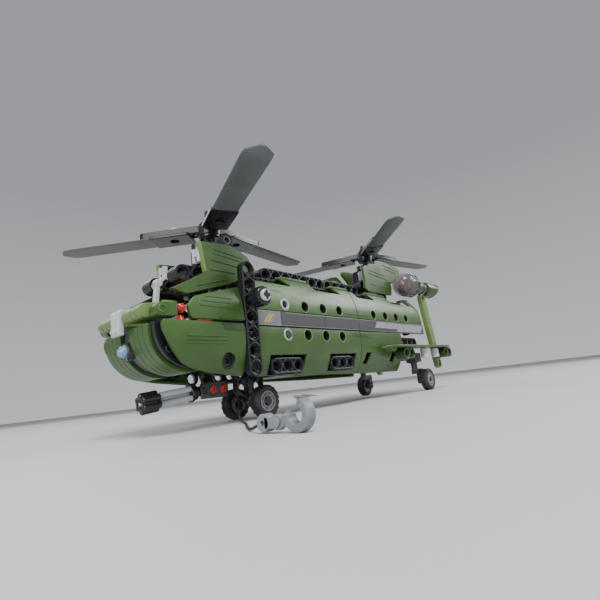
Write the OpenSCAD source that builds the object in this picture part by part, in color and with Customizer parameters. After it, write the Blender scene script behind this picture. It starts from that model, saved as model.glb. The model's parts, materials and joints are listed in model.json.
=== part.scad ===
// Tandem-rotor transport helicopter built from beams, curved panels and pins on one hole grid.
// +X is the nose, +Y is port, +Z is up. The origin is the display-stand bore in the belly.
// Places along the hull are given in hole pitches and multiplied by u.

/* [Grid] */
// Distance between neighbouring holes
u = 8; // [8:0.1:8.2]
// Width and height of a beam
beam_w = 7.8; // [7.6:0.1:7.8]
// Thickness of a thin beam
thin_w = 3.9; // [3:0.1:3.9]
// Radius of a pin hole
hole_r = 2.45; // [2.42:0.01:2.5]
// Radius of a pin
pin_r = 2.38; // [2.3:0.01:2.4]
// Radius of a turning axle
axle_r = 2.38; // [2.3:0.01:2.4]

/* [Hull] */
// Half of the hull's width, in pitches
half_w = 3.5; // [3.5:0.05:3.6]
// Wall thickness of the curved panels
skin = 1.6; // [1.2:0.1:1.8]
// Radius of the hull's curved sides, in pitches
side_r = 4.5; // [4.4:0.1:5]

/* [Rotors] */
// Radius of a rotor, hub centre to blade tip
rotor_r = 84; // [70:1:86]
// Blades on each rotor
blades = 3; // [3:1:4]
// Chord of a blade
chord = 13; // [10:0.5:14]
// Direction of the front rotor's first blade
front_phase = 68; // [0:1:120]
// Direction of the rear rotor's first blade
rear_phase = 48; // [0:1:120]

/* [Running gear] */
// Radius of a tyre
tyre_r = 8.2; // [7.8:0.1:8.4]
// Width of a tyre
tyre_w = 6; // [5:0.1:6]
// Height of the wheel axles
wheel_z = -12; // [-12.4:0.1:-11.6]

/* [Hidden] */
$fn = 48;
slack = 0.1;
front_x = 9 * u;
rear_x = -11 * u;
knob_z = 4.5 * u;
shaft_z = 7 * u;
front_hub_z = 10.2 * u;
rear_hub_z = 12 * u;
floor_z = wheel_z - tyre_r;
gun_tilt = 6;
gun_x = 10.5 * u;
gun_z = -0.45 * u;
winch_x = 6 * u;
winch_z = 2.5 * u;
gear_axle_x = 6.7 * u;
caster_x = -12 * u;
caster_y = 3 * u;
caster_axle_x = -13 * u;
ramp_x = -9.8 * u;
ramp_z = 1.2;
teeth = 12;
cord_r = 0.5;
// Route of the winch string: out of the belly, through the guide ring, down and along the floor
CORD = [
    [53, 1.5, 1], [53.4, 1.6, -1.5], [55.5, 1.8, -4.6], [58.8, 2.6, -7.6], [62.4, 4.4, -9.9], [65.8, 7.2, -12],
    [68.4, 8.9, -13.3], [70.6, 10.9, -15], [72.2, 13.4, -17.2], [73.7, 16.4, -18.9], [75.4, 19.6, -19.7],
    [79, 25.6, -19.7], [84, 32.4, -19.7], [89.4, 39.2, -19.7], [94.4, 45.6, -19.7], [99.2, 52, -19.65],
    [103.6, 58.6, -19.2], [106.2, 63.8, -18.2], [107, 67.1, -17.2]];

// ---- building blocks ----

// A point given in pitches
module at(x, y, z) translate([x, y, z] * u) children();

// The same thing on the port and the starboard side
module both_sides() { children(); mirror([0, 1, 0]) children(); }

// Extrudes an outline drawn in (Y, Z) along X between two stations in pitches
module along_x(x0, x1) translate([x0 * u, 0, 0]) rotate([90, 0, 90])
    linear_extrude((x1 - x0) * u) children();

// Extrudes an outline drawn in (X, Z) along Y between two distances in millimetres
module along_y(y0, y1) translate([0, y1, 0]) rotate([90, 0, 0])
    linear_extrude(y1 - y0) children();

// Outline of a beam with n holes, centred
module beam_outline(n) difference() {
    union() {
        square([(n - 1) * u, beam_w], center = true);
        for (s = [-1, 1]) translate([s * (n - 1) * u / 2, 0]) circle(beam_w / 2);
    }
    for (i = [0 : n - 1]) translate([(i - (n - 1) / 2) * u, 0]) circle(hole_r);
}

// Beam along X with its holes along Z, and the three other ways it is used
module beam_xz(n, t = beam_w) linear_extrude(t, center = true) beam_outline(n);
module beam_xy(n, t = beam_w) rotate([90, 0, 0]) beam_xz(n, t);
module beam_zy(n, t = beam_w) rotate([90, 0, 0]) rotate([0, 0, 90]) beam_xz(n, t);
module beam_yz(n, t = beam_w) rotate([0, 0, 90]) beam_xz(n, t);
module beam_yx(n, t = beam_w) rotate([0, 90, 0]) rotate([0, 0, 90]) beam_xz(n, t);

// Round bar along Y
module bar_y(r, y0, y1) translate([0, y0, 0]) rotate([-90, 0, 0]) cylinder(r = r, h = y1 - y0);

// Round bar along X
module bar_x(r, x0, x1) translate([x0, 0, 0]) rotate([0, 90, 0]) cylinder(r = r, h = x1 - x0);

// Part of a ring between two angles, drawn in (X, Z)
module ring_sector(r_in, r_out, a0, a1) difference() {
    intersection() {
        circle(r_out);
        polygon(concat([[0, 0]], [for (i = [0 : 8]) let (a = a0 + (a1 - a0) * i / 8) 2 * r_out * [cos(a), sin(a)]]));
    }
    circle(r_in);
}

// Cross-section of a curved side wall: an arc whose widest point is at height zc
module side_section(zc, z0, z1, t = skin) intersection() {
    translate([(half_w - side_r) * u, zc * u]) difference() {
        circle(side_r * u, $fn = 128);
        circle(side_r * u - t, $fn = 128);
    }
    translate([0, z0 * u]) square([half_w * u + 1, (z1 - z0) * u]);
}

// Bevel gear on the Z axis with its teeth towards the apex at the origin
module bevel_gear(phase) difference() {
    union() {
        rotate_extrude() polygon([[0, 4.3], [3.2, 4.3], [6.9, 8], [6.9, 9.6], [0, 9.6]]);
        for (i = [0 : teeth - 1]) rotate([0, 0, phase + i * 360 / teeth])
            translate([5.7, 0, 6.8]) rotate([0, -45, 0]) translate([-1.3, -0.55, -1.35]) cube([2.6, 1.1, 2]);
    }
    translate([0, 0, 4]) cylinder(r = axle_r + 0.02, h = 6);
}

// Collar that stops an axle from sliding
module bush(r_out, h, r_in) difference() {
    cylinder(r = r_out, h = h);
    translate([0, 0, -1]) cylinder(r = r_in, h = h + 2);
}

// ---- frame ----

// Beam in the belly whose middle hole takes a display stand
module stand_beam() color("#1c1d1f") translate([0, 0, beam_w / 2]) beam_xz(5);

// Flat belly with a slot for the stand beam
module belly_plates() color("#2f5a1e") difference() {
    translate([-9.4 * u, -20.2, 0]) cube([15.2 * u, 40.4, skin]);
    translate([-2.6 * u, -4.2, -1]) cube([5.2 * u, 8.4, 4]);
}

// Four long beams under the cabin floor
module floor_beams() color("#1c1d1f") both_sides() for (x = [3, -8]) at(x, 2, 1) beam_xy(11);

// Beams across the cabin that tie the floor beams together
module cross_beams() color("#1c1d1f") for (x = [8, 4, -2, -5, -8.9]) at(x, 0, 2) beam_yz(5);

// Upright beams on both sides at the front rotor
module frame_beams() color("#1c1d1f") both_sides() at(9, 3.32, 3.5) beam_zy(7, thin_w);

// Dark sub-frame behind the lower panels, with the bearings of the two rear casters
module rear_frame_beams() color("#26282b") {
    both_sides() {
        at(-11.5, 2.5, 2.2) beam_xy(4);
        difference() {
            translate([caster_x - 5, caster_y - 4, 1.8]) cube([10, 8.9, 7]);
            translate([caster_x, caster_y, 0]) cylinder(r = hole_r, h = 12);
        }
    }
    at(-14, 0, 2.2) beam_yz(5);
    both_sides() at(-12.5, 2.5, 4.5) beam_zy(3, thin_w);
}

// ---- hull skin ----

// Curved wall with end ribs
module hull_panel(x0, x1, zc, z0, z1) {
    along_x(x0, x1) side_section(zc, z0, z1);
    for (x = [x0, x1 - 0.2]) along_x(x, x + 0.2) side_section(zc, max(z0, 0.22), z1, 4.5);
}

// The same wall with portholes, each a pin hole with a collar behind it
module port_panel(x0, x1, zc, z0, z1, xs, zh) difference() {
    union() {
        hull_panel(x0, x1, zc, z0, z1);
        intersection() {
            for (x = xs) at(x, 0, zh) bar_y(3.7, 21.5, half_w * u);
            along_x(x0, x1) translate([0, z0 * u]) intersection() {
                translate([(half_w - side_r) * u, (zc - z0) * u]) circle(side_r * u - 0.3, $fn = 128);
                square([half_w * u + 1, (z1 - z0) * u]);
            }
        }
    }
    for (x = xs) at(x, 0, zh) {
        bar_y(hole_r, 20, half_w * u + 1);
        bar_y(3.1, half_w * u - 1, half_w * u + 1);
    }
}

// Cut with one slanted end that bares a sill beam
module sill_cut(x) along_y(18, 30) translate([x * u, 0])
    polygon(u * [[1.56, 0.03], [1.56, 1.2], [-1.85, 1.2], [-1.58, 0.03]]);

// Slanted slot in a lower panel
module slant_slot(x) along_y(18, 30) translate([x * u, 0.35 * u])
    polygon(u * [[0.6, 0], [-0.15, 0], [-0.55, 0.9], [0.2, 0.9]]);

// Wedge off the lower edge of the hull, which drops a little towards the stern
module keel_cut() along_y(10, 30) polygon(u * [[8.6, -0.8], [8.6, 0], [-2.5, -0.35], [-9.6, -0.45], [-9.6, -0.8]]);

// Notch in the top edge of an upper panel that bares a roof beam
module roof_notch(x0, x1) along_y(14, 30)
    polygon(u * [[x0 + 0.95, 6.6], [x0, 5.98], [x1 - 0.5, 5.98], [x1, 6.6]]);

module lower_panels_front() color("#58823c") both_sides() difference() {
    port_panel(-2.48, 8.48, 2.4, -0.5, 2.98, [6, 4, 2, 0], 2.5);
    for (x = [6, 0]) sill_cut(x);
    keel_cut();
}

module lower_panels_rear() color("#58823c") both_sides() difference() {
    hull_panel(-9.4, -2.52, 2.4, -0.5, 2.98);
    for (x = [-3.5, -7.75]) slant_slot(x);
    keel_cut();
}

module upper_panels_front() color("#4d7634") both_sides() difference() {
    port_panel(-2.48, 8.48, 4.2, 4.02, 6.5, [6, 4, 2, 0], 4.5);
    roof_notch(4.8, 9.5);
    roof_notch(-1, 2.7);
}

module upper_panels_rear() color("#4d7634") both_sides() difference() {
    port_panel(-14.4, -2.52, 4.2, 4.02, 6.5, [-5, -7, -9, -11], 4.5);
    roof_notch(-6.15, -2.9);
    roof_notch(-13.2, -8.65);
    along_y(10, 30) polygon(u * [[-14.5, 5.5], [-13.4, 6.6], [-14.5, 6.6]]);
}

// Row of flat tiles between the lower and the upper panels
module stripe_tiles() color("#55585c") both_sides()
    for (span = [[6.52, 8.48], [2.02, 6.48], [-2.48, 1.98], [-4.98, -2.52], [-9.98, -5.02], [-14.4, -10.02]])
        translate([span[0] * u, half_w * u - 2, 3.02 * u]) cube([(span[1] - span[0]) * u, 2.2, 0.96 * u]);

// Short beams that show in the cut corners of the front lower panels
module sill_beams() color("#58823c") both_sides() for (x = [6, 0])
    translate([x * u, half_w * u - 2 - thin_w / 2, 0.55 * u]) beam_xy(3, thin_w);

// Beams along the roof, either side of the drive shaft, and short ones behind the notches
module roof_beams() color("#1c1d1f") both_sides() {
    at(3, 1.5, 7) beam_xy(7);
    at(-3, 1.5, 7) beam_xy(5);
    for (x = [6.6, 0.6, -4.3]) at(x, 2.25, 6) beam_xy(3, thin_w);
    at(-10.9, 1.9, 6) beam_xy(5, thin_w);
}

// Plates between the upper panels and the roof beams
module roof_plates() color("#3f6a2b") both_sides()
    for (span = [[2.75, 5.5], [-2.5, -0.1], [-8.6, -5.25], [-13.3, -12.35]])
        translate([span[0] * u, 16.4, 6.5 * u + slack]) cube([(span[1] - span[0]) * u, 6.6, 1.4]);

// ---- cockpit and nose ----

module cockpit_lower_panels() color("#58823c") both_sides() difference() {
    intersection() {
        along_x(9, 16) side_section(2.4, 0, 3.2, 2);
        along_y(10, 30) polygon(u * [[9.52, 0.05], [11.8, 0.35], [13.6, 0.9], [14.7, 2.6], [14.7, 3.1],
            [9.52, 3.1]]);
    }
    at(10.7, 0, 0.95) bar_y(3.6, 18, 30);
}

module cockpit_upper_panels() color("#4d7634") both_sides() intersection() {
    along_x(9, 16) side_section(3.4, 3.15, 5.5, 2);
    along_y(10, 30) polygon(u * [[9.52, 3.2], [13.1, 3.2], [13.25, 3.9],
        [12.8, 4.45], [9.52, 5.4]]);
}

// Eight thin curved slices that make the chin
module chin_slices() color("#6b9648") for (i = [0 : 3]) both_sides()
    translate([12.7 * u, 0, 2.8 * u]) along_y((0.52 + i / 2) * u, (0.5 + i / 2) * u + thin_w)
        ring_sector(1.5 * u, 2.3 * u, -104, 6);

// Slices above the chin with rounded fronts
module brow_slices() color("#7ba055") for (i = [0 : 3]) both_sides()
    along_y((0.52 + i / 2) * u, (0.5 + i / 2) * u + thin_w) {
        translate([15.05 * u, 3.7 * u]) circle(0.36 * u);
        polygon(u * [[15.05, 3.34], [15.05, 4.06], [13.4, 4.3], [13.4, 3.5]]);
    }

// Black curved frames between the slices and the side panels
module nose_frames() color("#1c1d1f") both_sides() translate([12.7 * u, 0, 2.8 * u])
    along_y(2.54 * u, 2.54 * u + 3) ring_sector(1.3 * u, 2.15 * u, -100, 8);

// Two light bars over the middle of the nose
module nose_bars() color("#b9bec2") both_sides() translate([15.2 * u, 0.3, 2.75 * u]) cube([2.6, 3.4, 1.4 * u]);

// Dark holder of the nose lamp
module lamp_holder() color("#1c1d1f") difference() {
    translate([12.7 * u, 0, 2.8 * u]) along_y(-3.9, 3.9) ring_sector(1.5 * u, 2.15 * u, -104, 8);
    at(0, 0, 1.95) bar_x(2.9, 13.6 * u, 15.6 * u);
}

// Round clear lens in the holder
module lamp_lens() color("#6fa8dc") at(0, 0, 1.95) {
    bar_x(2.8, 14.2 * u, 15.05 * u);
    difference() {
        translate([15.05 * u, 0, 0]) sphere(2.8);
        translate([15.05 * u - 5, -5, -5]) cube([5, 10, 10]);
    }
}

module side_rails() color("#4d7634") both_sides() along_y(2.6 * u, 3.35 * u) {
    translate([14.6 * u, 3.62 * u]) circle(0.36 * u);
    polygon(u * [[14.6, 3.26], [14.6, 3.98], [13.75, 4.06], [13.75, 3.3]]);
}

module marker_lamps() color("#b3241e") both_sides() at(13.5, 0, 3.75) bar_y(2, 2.7 * u, 3.3 * u);

// Light angled pillar in the middle of the windscreen
module windscreen_pillar() color("#c4c9cc") along_y(-1.3, 1.3)
    polygon(u * [[13.05, 4.45], [13.35, 4.4], [13.15, 6.05], [12.5, 6.6], [12.35, 6.4], [12.9, 5.95]]);

module pilot_seats() color("#7a1d1a") both_sides() translate([11 * u, 0.7 * u, 2.6 * u]) {
    cube([10, 11, 3]);
    translate([-2.6, 0, 0]) cube([2.5, 11, 15]);
}

module instrument_console() color("#26282b") translate([13 * u, -1.9 * u, 2.7 * u]) along_y(0, 3.8 * u)
    polygon([[-5, 0], [2, 0], [2, 4], [-1, 5.6], [-5, 3]]);

// ---- front rotor tower ----

module front_pylon_panels() color("#4d7634") both_sides() along_y(2.28 * u, 2.28 * u + 2)
    polygon(u * [[11.7, 8.1], [11.4, 6.2], [13.6, 5], [12.7, 4.75], [9.6, 5.7], [8.6, 6.15], [8.6, 6.6], [7.3, 6.75], [8.1, 7.8], [9.5, 8.3]]);

// Bearing beams of the front mast, with the cross beams that carry the tower
module front_gearbox() color("#1c1d1f") {
    at(9, 0, 8.75) beam_xz(3, thin_w);
    both_sides() {
        at(9, 1.5, 7.5) beam_zy(4, thin_w);
        at(11, 1.5, 6.2) beam_xy(4);
    }
}

// ---- rear rotor tower ----

module rear_pylon_panels() color("#4d7634") both_sides() {
    along_y(2.28 * u, 2.28 * u + 2)
        polygon(u * [[-6.1, 9.35], [-6.2, 8.2], [-6, 7.3], [-6.5, 7], [-10.8, 7.05], [-11.1, 8], [-10.2, 9.15],
            [-8.6, 10.05], [-7.6, 9.85]]);
    along_y(1.9 * u, 1.9 * u + 2)
        polygon(u * [[-9.2, 10.6], [-9, 10.3], [-10.6, 9], [-11.6, 8.4], [-12.6, 8.8], [-14.2, 9.9], [-14.2, 10.3],
            [-13.3, 10.6], [-10.8, 10.75]]);
}

module rear_gearbox() color("#1c1d1f") {
    for (z = [8.75, 10.5]) at(-11, 0, z) beam_xz(3, thin_w);
    both_sides() {
        at(-11, 1.3, 8.2) beam_zy(5, thin_w);
        at(-7.5, 1.5, 7.6) beam_xy(3);
    }
}

// Engine pods: a body, a band and a square tail on each side of the rear tower
module nacelles() color("#2e5c33") both_sides() translate([0, 3.4 * u, 8.1 * u]) {
    bar_x(4.8, -16.4 * u, -13.5 * u);
    difference() {
        bar_x(9.4, -13.5 * u, -12.85 * u);
        bar_x(6.8, -13.2 * u, -12.5 * u);
    }
    difference() {
        bar_x(6.6, -19.6 * u, -16.4 * u);
        bar_x(5.2, -20 * u, -17.3 * u);
        along_y(-10, 10) polygon(u * [[-20, -1], [-17.9, -1], [-19.5, 0.9], [-20, 0.9]]);
    }
}

// Smoky intake domes at the front of the pods
module intake_domes() color([0.35, 0.33, 0.33, 0.5]) both_sides() translate([-12.1 * u, 3.4 * u, 8.1 * u]) difference() {
    union() {
        sphere(9.6);
        bar_x(9.6, -0.72 * u, 0);
    }
    sphere(8.2);
    bar_x(8.2, -1.5 * u, 0);
}

// Red crosses inside the domes
module intake_cores() color("#b3241e") both_sides() translate([0, 3.4 * u, 8.1 * u]) {
    bar_x(2.3, -13.15 * u, -11.7 * u);
    for (a = [0, 90]) rotate([a, 0, 0]) translate([-12.35 * u, -5.5, -0.9]) cube([2, 11, 1.8]);
}

// ---- tail ----

// Slanted posts with a hole at each end
module tail_posts() color("#8fb06a") both_sides() translate([-15.88 * u, 3.5 * u + 0.2, 3.43 * u])
    rotate([0, 8.8, 0]) rotate([90, 0, 0]) rotate([0, 0, 90]) linear_extrude(thin_w, center = true) difference() {
        union() {
            square([7 * u, beam_w], center = true);
            for (s = [-1, 1]) translate([s * 3.5 * u, 0]) circle(beam_w / 2);
        }
        for (s = [-1, 1]) translate([s * 3.5 * u, 0]) circle(hole_r);
    }

module winglets() color("#5f8a40") both_sides() translate([0, 0, 1.5 * u]) linear_extrude(1.6) intersection() {
    union() {
        translate([-16.7 * u, 30.4]) square([10.6 * u, 9]);
        for (x = [-6.1, -16.7]) translate([x * u, 30.4]) circle(9);
    }
    translate([-20 * u, 30.4]) square([20 * u, 12]);
}

module winglet_brackets() color("#26282b") both_sides() {
    for (x = [-8, -16.6]) at(x, 0, 0.98) translate([0, 34.4, 0]) beam_xy(2);
    for (x = [-12, -14.4]) translate([x * u, 34.4, 0.55 * u]) cylinder(r = 3, h = 0.9 * u);
}

// ---- nose gear, gun and winch ----

module gear_strut() color("#1c1d1f") {
    both_sides() translate([gear_axle_x, 6, wheel_z + u]) beam_zy(3, thin_w);
    translate([8.1 * u, 7.6, -0.6]) beam_zy(2, thin_w);
}

module gun_block() color("#8d9296") difference() {
    union() {
        translate([8.75 * u, -3.9, gun_z - 3.9]) cube([1.45 * u, 7.8, 7.8]);
        for (y = [-3.9, 2.6]) {
            translate([8.75 * u, y, gun_z - 2.2]) cube([gun_x - 8.75 * u, 1.3, 4.4]);
            translate([gun_x, 0, gun_z]) bar_y(2.2, y, y + 1.3);
        }
    }
    for (x = [9.1, 9.85]) translate([x * u, 0, gun_z]) bar_y(2.1, -5, 5);
    translate([gun_x, 0, gun_z]) bar_y(1.56, -5, 5);
}

module red_cross_pins() color("#b3241e") for (x = [9.1, 9.85]) translate([x * u, 0, gun_z]) bar_y(2.05, -4.1, 4.1);

// Ring that leads the string out under the nose
module guide_ring() color("#1c1d1f") translate([8.3 * u, 7.6, -12]) rotate([0, 0, 25]) rotate([0, 90, 0])
    translate([0, 0, -1.5]) bush(3.4, 3, 1.7);

// Round tube along the points of a route
module route_tube(route, r) {
    sides = 8;
    n = len(route);
    function heading(i) = let (d = route[min(i + 1, n - 1)] - route[max(i - 1, 0)]) d / norm(d);
    function side(i) = let (c = cross(heading(i), [1, 0.3, 0.2])) c / norm(c);
    points = [for (i = [0 : n - 1]) let (h = heading(i), s = side(i), t = cross(h, s))
        for (k = [0 : sides - 1]) route[i] + r * (cos(k * 360 / sides) * s + sin(k * 360 / sides) * t)];
    faces = concat([[for (k = [0 : sides - 1]) k]],
        [for (i = [0 : n - 2]) for (k = [0 : sides - 1]) let (a = i * sides + k, b = i * sides + (k + 1) % sides)
            [a, a + sides, b + sides, b]],
        [[for (k = [sides - 1 : -1 : 0]) (n - 1) * sides + k]]);
    polyhedron(points, faces, convexity = 8);
}

module winch_string() color("#202020") route_tube(CORD, cord_r);

// Light-grey shackle at the string's end: a round head, two cheeks and the hook's pin
module hook_shackle() color("#c4c9cc") translate([107, 70, floor_z + 3.2]) difference() {
    union() {
        bar_x(2.8, -1.9, 1.9);
        for (x = [-1.9, 1.35]) {
            translate([x, 0, -1.7]) cube([0.55, 5.6, 3.4]);
            translate([0, 5.6, 0]) bar_x(1.7, x, x + 0.55);
        }
        translate([0, 5.6, 0]) bar_x(1.1, -1.9, 1.9);
    }
    bar_x(0.9, -3, 3);
}

// Open hook on its pin, standing on its edge
module cargo_hook() color("#c4c9cc") translate([107, 75.6, floor_z + 3.2]) difference() {
    translate([-1.9, 0, 0]) rotate([90, 0, 90]) linear_extrude(3.8) difference() {
        union() {
            circle(2.4);
            polygon([[0.5, -2], [4.4, -1.2], [4.4, 3.6], [0.5, 1.6]]);
            translate([8.6, 2.05]) ring_sector(2.4, 5.2, -185, 100);
        }
        circle(1.2);
    }
    for (x = [-3.3, 1.25]) bar_x(3.1, x, x + 2.05);
}

// ---- rotors ----

// Hub with one arm for each blade
module hub(phase) difference() {
    union() {
        cylinder(r = 6.5, h = 10, center = true);
        for (i = [0 : blades - 1]) rotate([0, 0, phase + i * 360 / blades]) translate([20, 0, 1]) beam_xz(5, thin_w);
    }
    cylinder(r = axle_r + 0.02, h = 20, center = true);
}

// Blades under the arms, with square root plates and rounded tips
module blade_set(phase) for (i = [0 : blades - 1]) rotate([0, 0, phase + i * 360 / blades])
    translate([0, 0, -2.8]) linear_extrude(1.8) {
        translate([10, -7]) square([22, 14]);
        translate([31.9, -chord / 2]) square([rotor_r - 31.9 - chord / 2, chord]);
        translate([rotor_r - chord / 2, 0]) circle(chord / 2);
    }

module front_mast() color("#3a3d40") translate([front_x, 0, 0]) {
    translate([0, 0, knob_z + 4.4]) cylinder(r = axle_r, h = front_hub_z + 12 - knob_z - 4.4);
    for (z = [knob_z, shaft_z]) translate([0, 0, z]) bevel_gear(0);
}
module front_hub() color("#1c1d1f") translate([front_x, 0, front_hub_z]) hub(front_phase);
module front_blades() color("#7d8083") translate([front_x, 0, front_hub_z]) blade_set(front_phase);
module rear_mast() color("#3a3d40") translate([rear_x, 0, 0]) {
    translate([0, 0, shaft_z + 4.4]) cylinder(r = axle_r, h = rear_hub_z + 10 - shaft_z - 4.4);
    translate([0, 0, shaft_z]) bevel_gear(0);
}
module rear_hub() color("#1c1d1f") translate([rear_x, 0, rear_hub_z]) hub(rear_phase);
module rear_blades() color("#7d8083") translate([rear_x, 0, rear_hub_z]) blade_set(rear_phase);

// Shaft in the roof that ties the two rotors together
module drive_shaft() color("#3a3d40") translate([0, 0, shaft_z]) {
    bar_x(axle_r, rear_x + 4.4, front_x - 4.4);
    translate([front_x, 0, 0]) rotate([0, -90, 0]) bevel_gear(180 / teeth);
    translate([rear_x, 0, 0]) rotate([0, 90, 0]) bevel_gear(180 / teeth);
}

// Hand knob on the port side whose axle drives the front mast
module drive_knob() color("#2a2c2f") translate([front_x, 0, knob_z]) {
    bar_y(axle_r, 4.4, 40);
    rotate([-90, 0, 0]) bevel_gear(180 / teeth);
    translate([0, 32.3, 0]) rotate([-90, 0, 0]) bush(4.6, 6, axle_r + 0.02);
    translate([0, 38.4, 0]) rotate([-90, 0, 0]) bush(3.3, 2, axle_r + 0.02);
}

// Winch: axle across the hull, drum in the middle, knob to starboard
module winch_drum() color("#3a3d40") translate([winch_x, 0, winch_z]) {
    bar_y(axle_r, -36, 28.6);
    for (y = [-6, 4.8]) translate([0, y, 0]) rotate([-90, 0, 0]) bush(7, 1.2, axle_r + 0.02);
    translate([0, -4.7, 0]) rotate([-90, 0, 0]) bush(4.5, 9.4, axle_r + 0.02);
    translate([0, -36, 0]) rotate([-90, 0, 0]) bush(5.5, 6, axle_r + 0.02);
}

// Tilting cradle of the gun
module gun_cradle() color("#1c1d1f") translate([gun_x, 0, gun_z]) rotate([0, gun_tilt, 0]) {
    bar_x(2.4, -1.2, 2.7);
    bar_x(3.6, 2.6, 4.2);
    bar_y(1.5, -3.9, 3.9);
}

// Turning barrels with their two collars
module gun_barrels() color("#b9bec2") translate([gun_x, 0, gun_z]) rotate([0, gun_tilt, 0]) {
    bar_x(4.2, 4.5, 6.5);
    bar_x(1.2, 6.5, 30.3);
    for (a = [0 : 3]) rotate([a * 90 + 45, 0, 0]) translate([0, 0, 2.9]) bar_x(1.3, 6.5, 22);
    bar_x(4.7, 22, 30.3);
}

// ---- wheels ----

// One wheel on the Y axis, centred
module wheel(r_in) rotate([90, 0, 0]) difference() {
    cylinder(r = tyre_r, h = tyre_w, center = true);
    cylinder(r = r_in, h = tyre_w + 2, center = true);
}

module front_wheels() color("#1c1d1f") translate([gear_axle_x, 0, wheel_z]) {
    bar_y(axle_r, -14.6, 14.6);
    for (s = [-1, 1]) translate([0, s * 12, 0]) wheel(axle_r);
}

// Swivelling leg with the stub axle of a rear wheel
module caster() {
    translate([caster_x, caster_y, -5]) cylinder(r = axle_r, h = 15);
    translate([caster_axle_x - 2, caster_y - 2, -7]) cube([u + 4, 4, 4]);
    translate([caster_axle_x - 2, caster_y - 2, wheel_z - 3]) cube([4, 4, -7 - wheel_z + 3.5]);
    translate([caster_axle_x, 0, wheel_z]) bar_y(1.6, caster_y - 2, caster_y + 9);
}
module caster_port() color("#b9bec2") caster();
module caster_starboard() color("#b9bec2") mirror([0, 1, 0]) caster();
module wheel_port() color("#1c1d1f") translate([caster_axle_x, caster_y + 5.4, wheel_z]) wheel(1.65);
module wheel_starboard() color("#1c1d1f") mirror([0, 1, 0]) translate([caster_axle_x, caster_y + 5.4, wheel_z]) wheel(1.65);

stand_beam();
belly_plates();
floor_beams();
cross_beams();
frame_beams();
rear_frame_beams();
lower_panels_front();
lower_panels_rear();
upper_panels_front();
upper_panels_rear();
stripe_tiles();
sill_beams();
roof_beams();
roof_plates();
cockpit_lower_panels();
cockpit_upper_panels();
chin_slices();
brow_slices();
nose_frames();
nose_bars();
lamp_holder();
lamp_lens();
side_rails();
marker_lamps();
windscreen_pillar();
pilot_seats();
instrument_console();
front_pylon_panels();
front_gearbox();
rear_pylon_panels();
rear_gearbox();
nacelles();
intake_domes();
intake_cores();
tail_posts();
winglets();
winglet_brackets();
gear_strut();
gun_block();
red_cross_pins();
guide_ring();
winch_string();
hook_shackle();
cargo_hook();
front_mast();
front_hub();
front_blades();
rear_mast();
rear_hub();
rear_blades();
drive_shaft();
drive_knob();
winch_drum();
gun_cradle();
gun_barrels();
front_wheels();
caster_port();
caster_starboard();
wheel_port();
wheel_starboard();
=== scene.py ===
"""Tandem-rotor helicopter model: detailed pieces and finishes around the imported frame.

Lengths inside the classes are millimetres in the frame's own axes (+X nose, +Y port, +Z up)
and become metres when a piece is made.
"""
import json
import logging
import math
from dataclasses import dataclass
from enum import Enum
from typing import Callable, Iterable, Sequence

import bmesh
import bpy
from mathutils import Matrix, Vector


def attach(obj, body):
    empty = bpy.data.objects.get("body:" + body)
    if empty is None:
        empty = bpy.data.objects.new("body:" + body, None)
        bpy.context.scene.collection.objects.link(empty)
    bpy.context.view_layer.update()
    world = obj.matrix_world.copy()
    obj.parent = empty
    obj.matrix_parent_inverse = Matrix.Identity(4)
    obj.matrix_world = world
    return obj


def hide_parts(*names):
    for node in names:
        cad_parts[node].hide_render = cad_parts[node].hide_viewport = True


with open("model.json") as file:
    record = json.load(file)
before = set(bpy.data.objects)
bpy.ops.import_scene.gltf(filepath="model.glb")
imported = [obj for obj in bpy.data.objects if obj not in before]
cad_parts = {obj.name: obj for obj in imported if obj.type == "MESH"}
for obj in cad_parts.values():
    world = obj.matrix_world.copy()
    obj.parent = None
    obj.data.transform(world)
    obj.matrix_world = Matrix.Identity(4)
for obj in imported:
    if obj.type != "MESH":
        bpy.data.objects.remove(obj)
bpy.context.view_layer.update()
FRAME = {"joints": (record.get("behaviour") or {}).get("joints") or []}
LOG = logging.getLogger("helicopter")

MM = 0.001
PITCH = 8.0
HOLE_R = 2.45
COUNTERBORE_R = 3.1
COUNTERBORE_DEPTH = 0.8
BEAM_W = 7.8
THIN_W = 3.9
SKIN = 1.6
HALF_W = 3.5 * PITCH
SIDE_R = 4.5 * PITCH
EDGE = 0.22
SMOOTH_ANGLE = math.radians(20)

Point2 = tuple[float, float]
Colour = tuple[float, float, float]


class Side(Enum):
    """Which side of the hull a piece is on."""

    PORT = 1
    STARBOARD = -1

    @property
    def word(self) -> str:
        """The side's name in piece names."""
        return self.name.lower()


class Axis(Enum):
    """A direction that a shape drawn about Z is turned to."""

    X = Matrix.Rotation(math.radians(90), 4, "Y")
    Y = Matrix.Rotation(math.radians(-90), 4, "X")
    Z = Matrix.Identity(4)


class Lie(Enum):
    """How a flat outline drawn in its own x and y is stood up: its x goes along the first letter."""

    XY = Matrix.Identity(4)
    XZ = Matrix.Rotation(math.radians(90), 4, "X")
    YZ = Matrix.Rotation(math.radians(90), 4, "Z") @ Matrix.Rotation(math.radians(90), 4, "X")
    YX = Matrix.Rotation(math.radians(90), 4, "Z")
    ZX = Matrix.Rotation(math.radians(90), 4, "X") @ Matrix.Rotation(math.radians(90), 4, "Z")


# ---------------------------------------------------------------- shader maths


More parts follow.
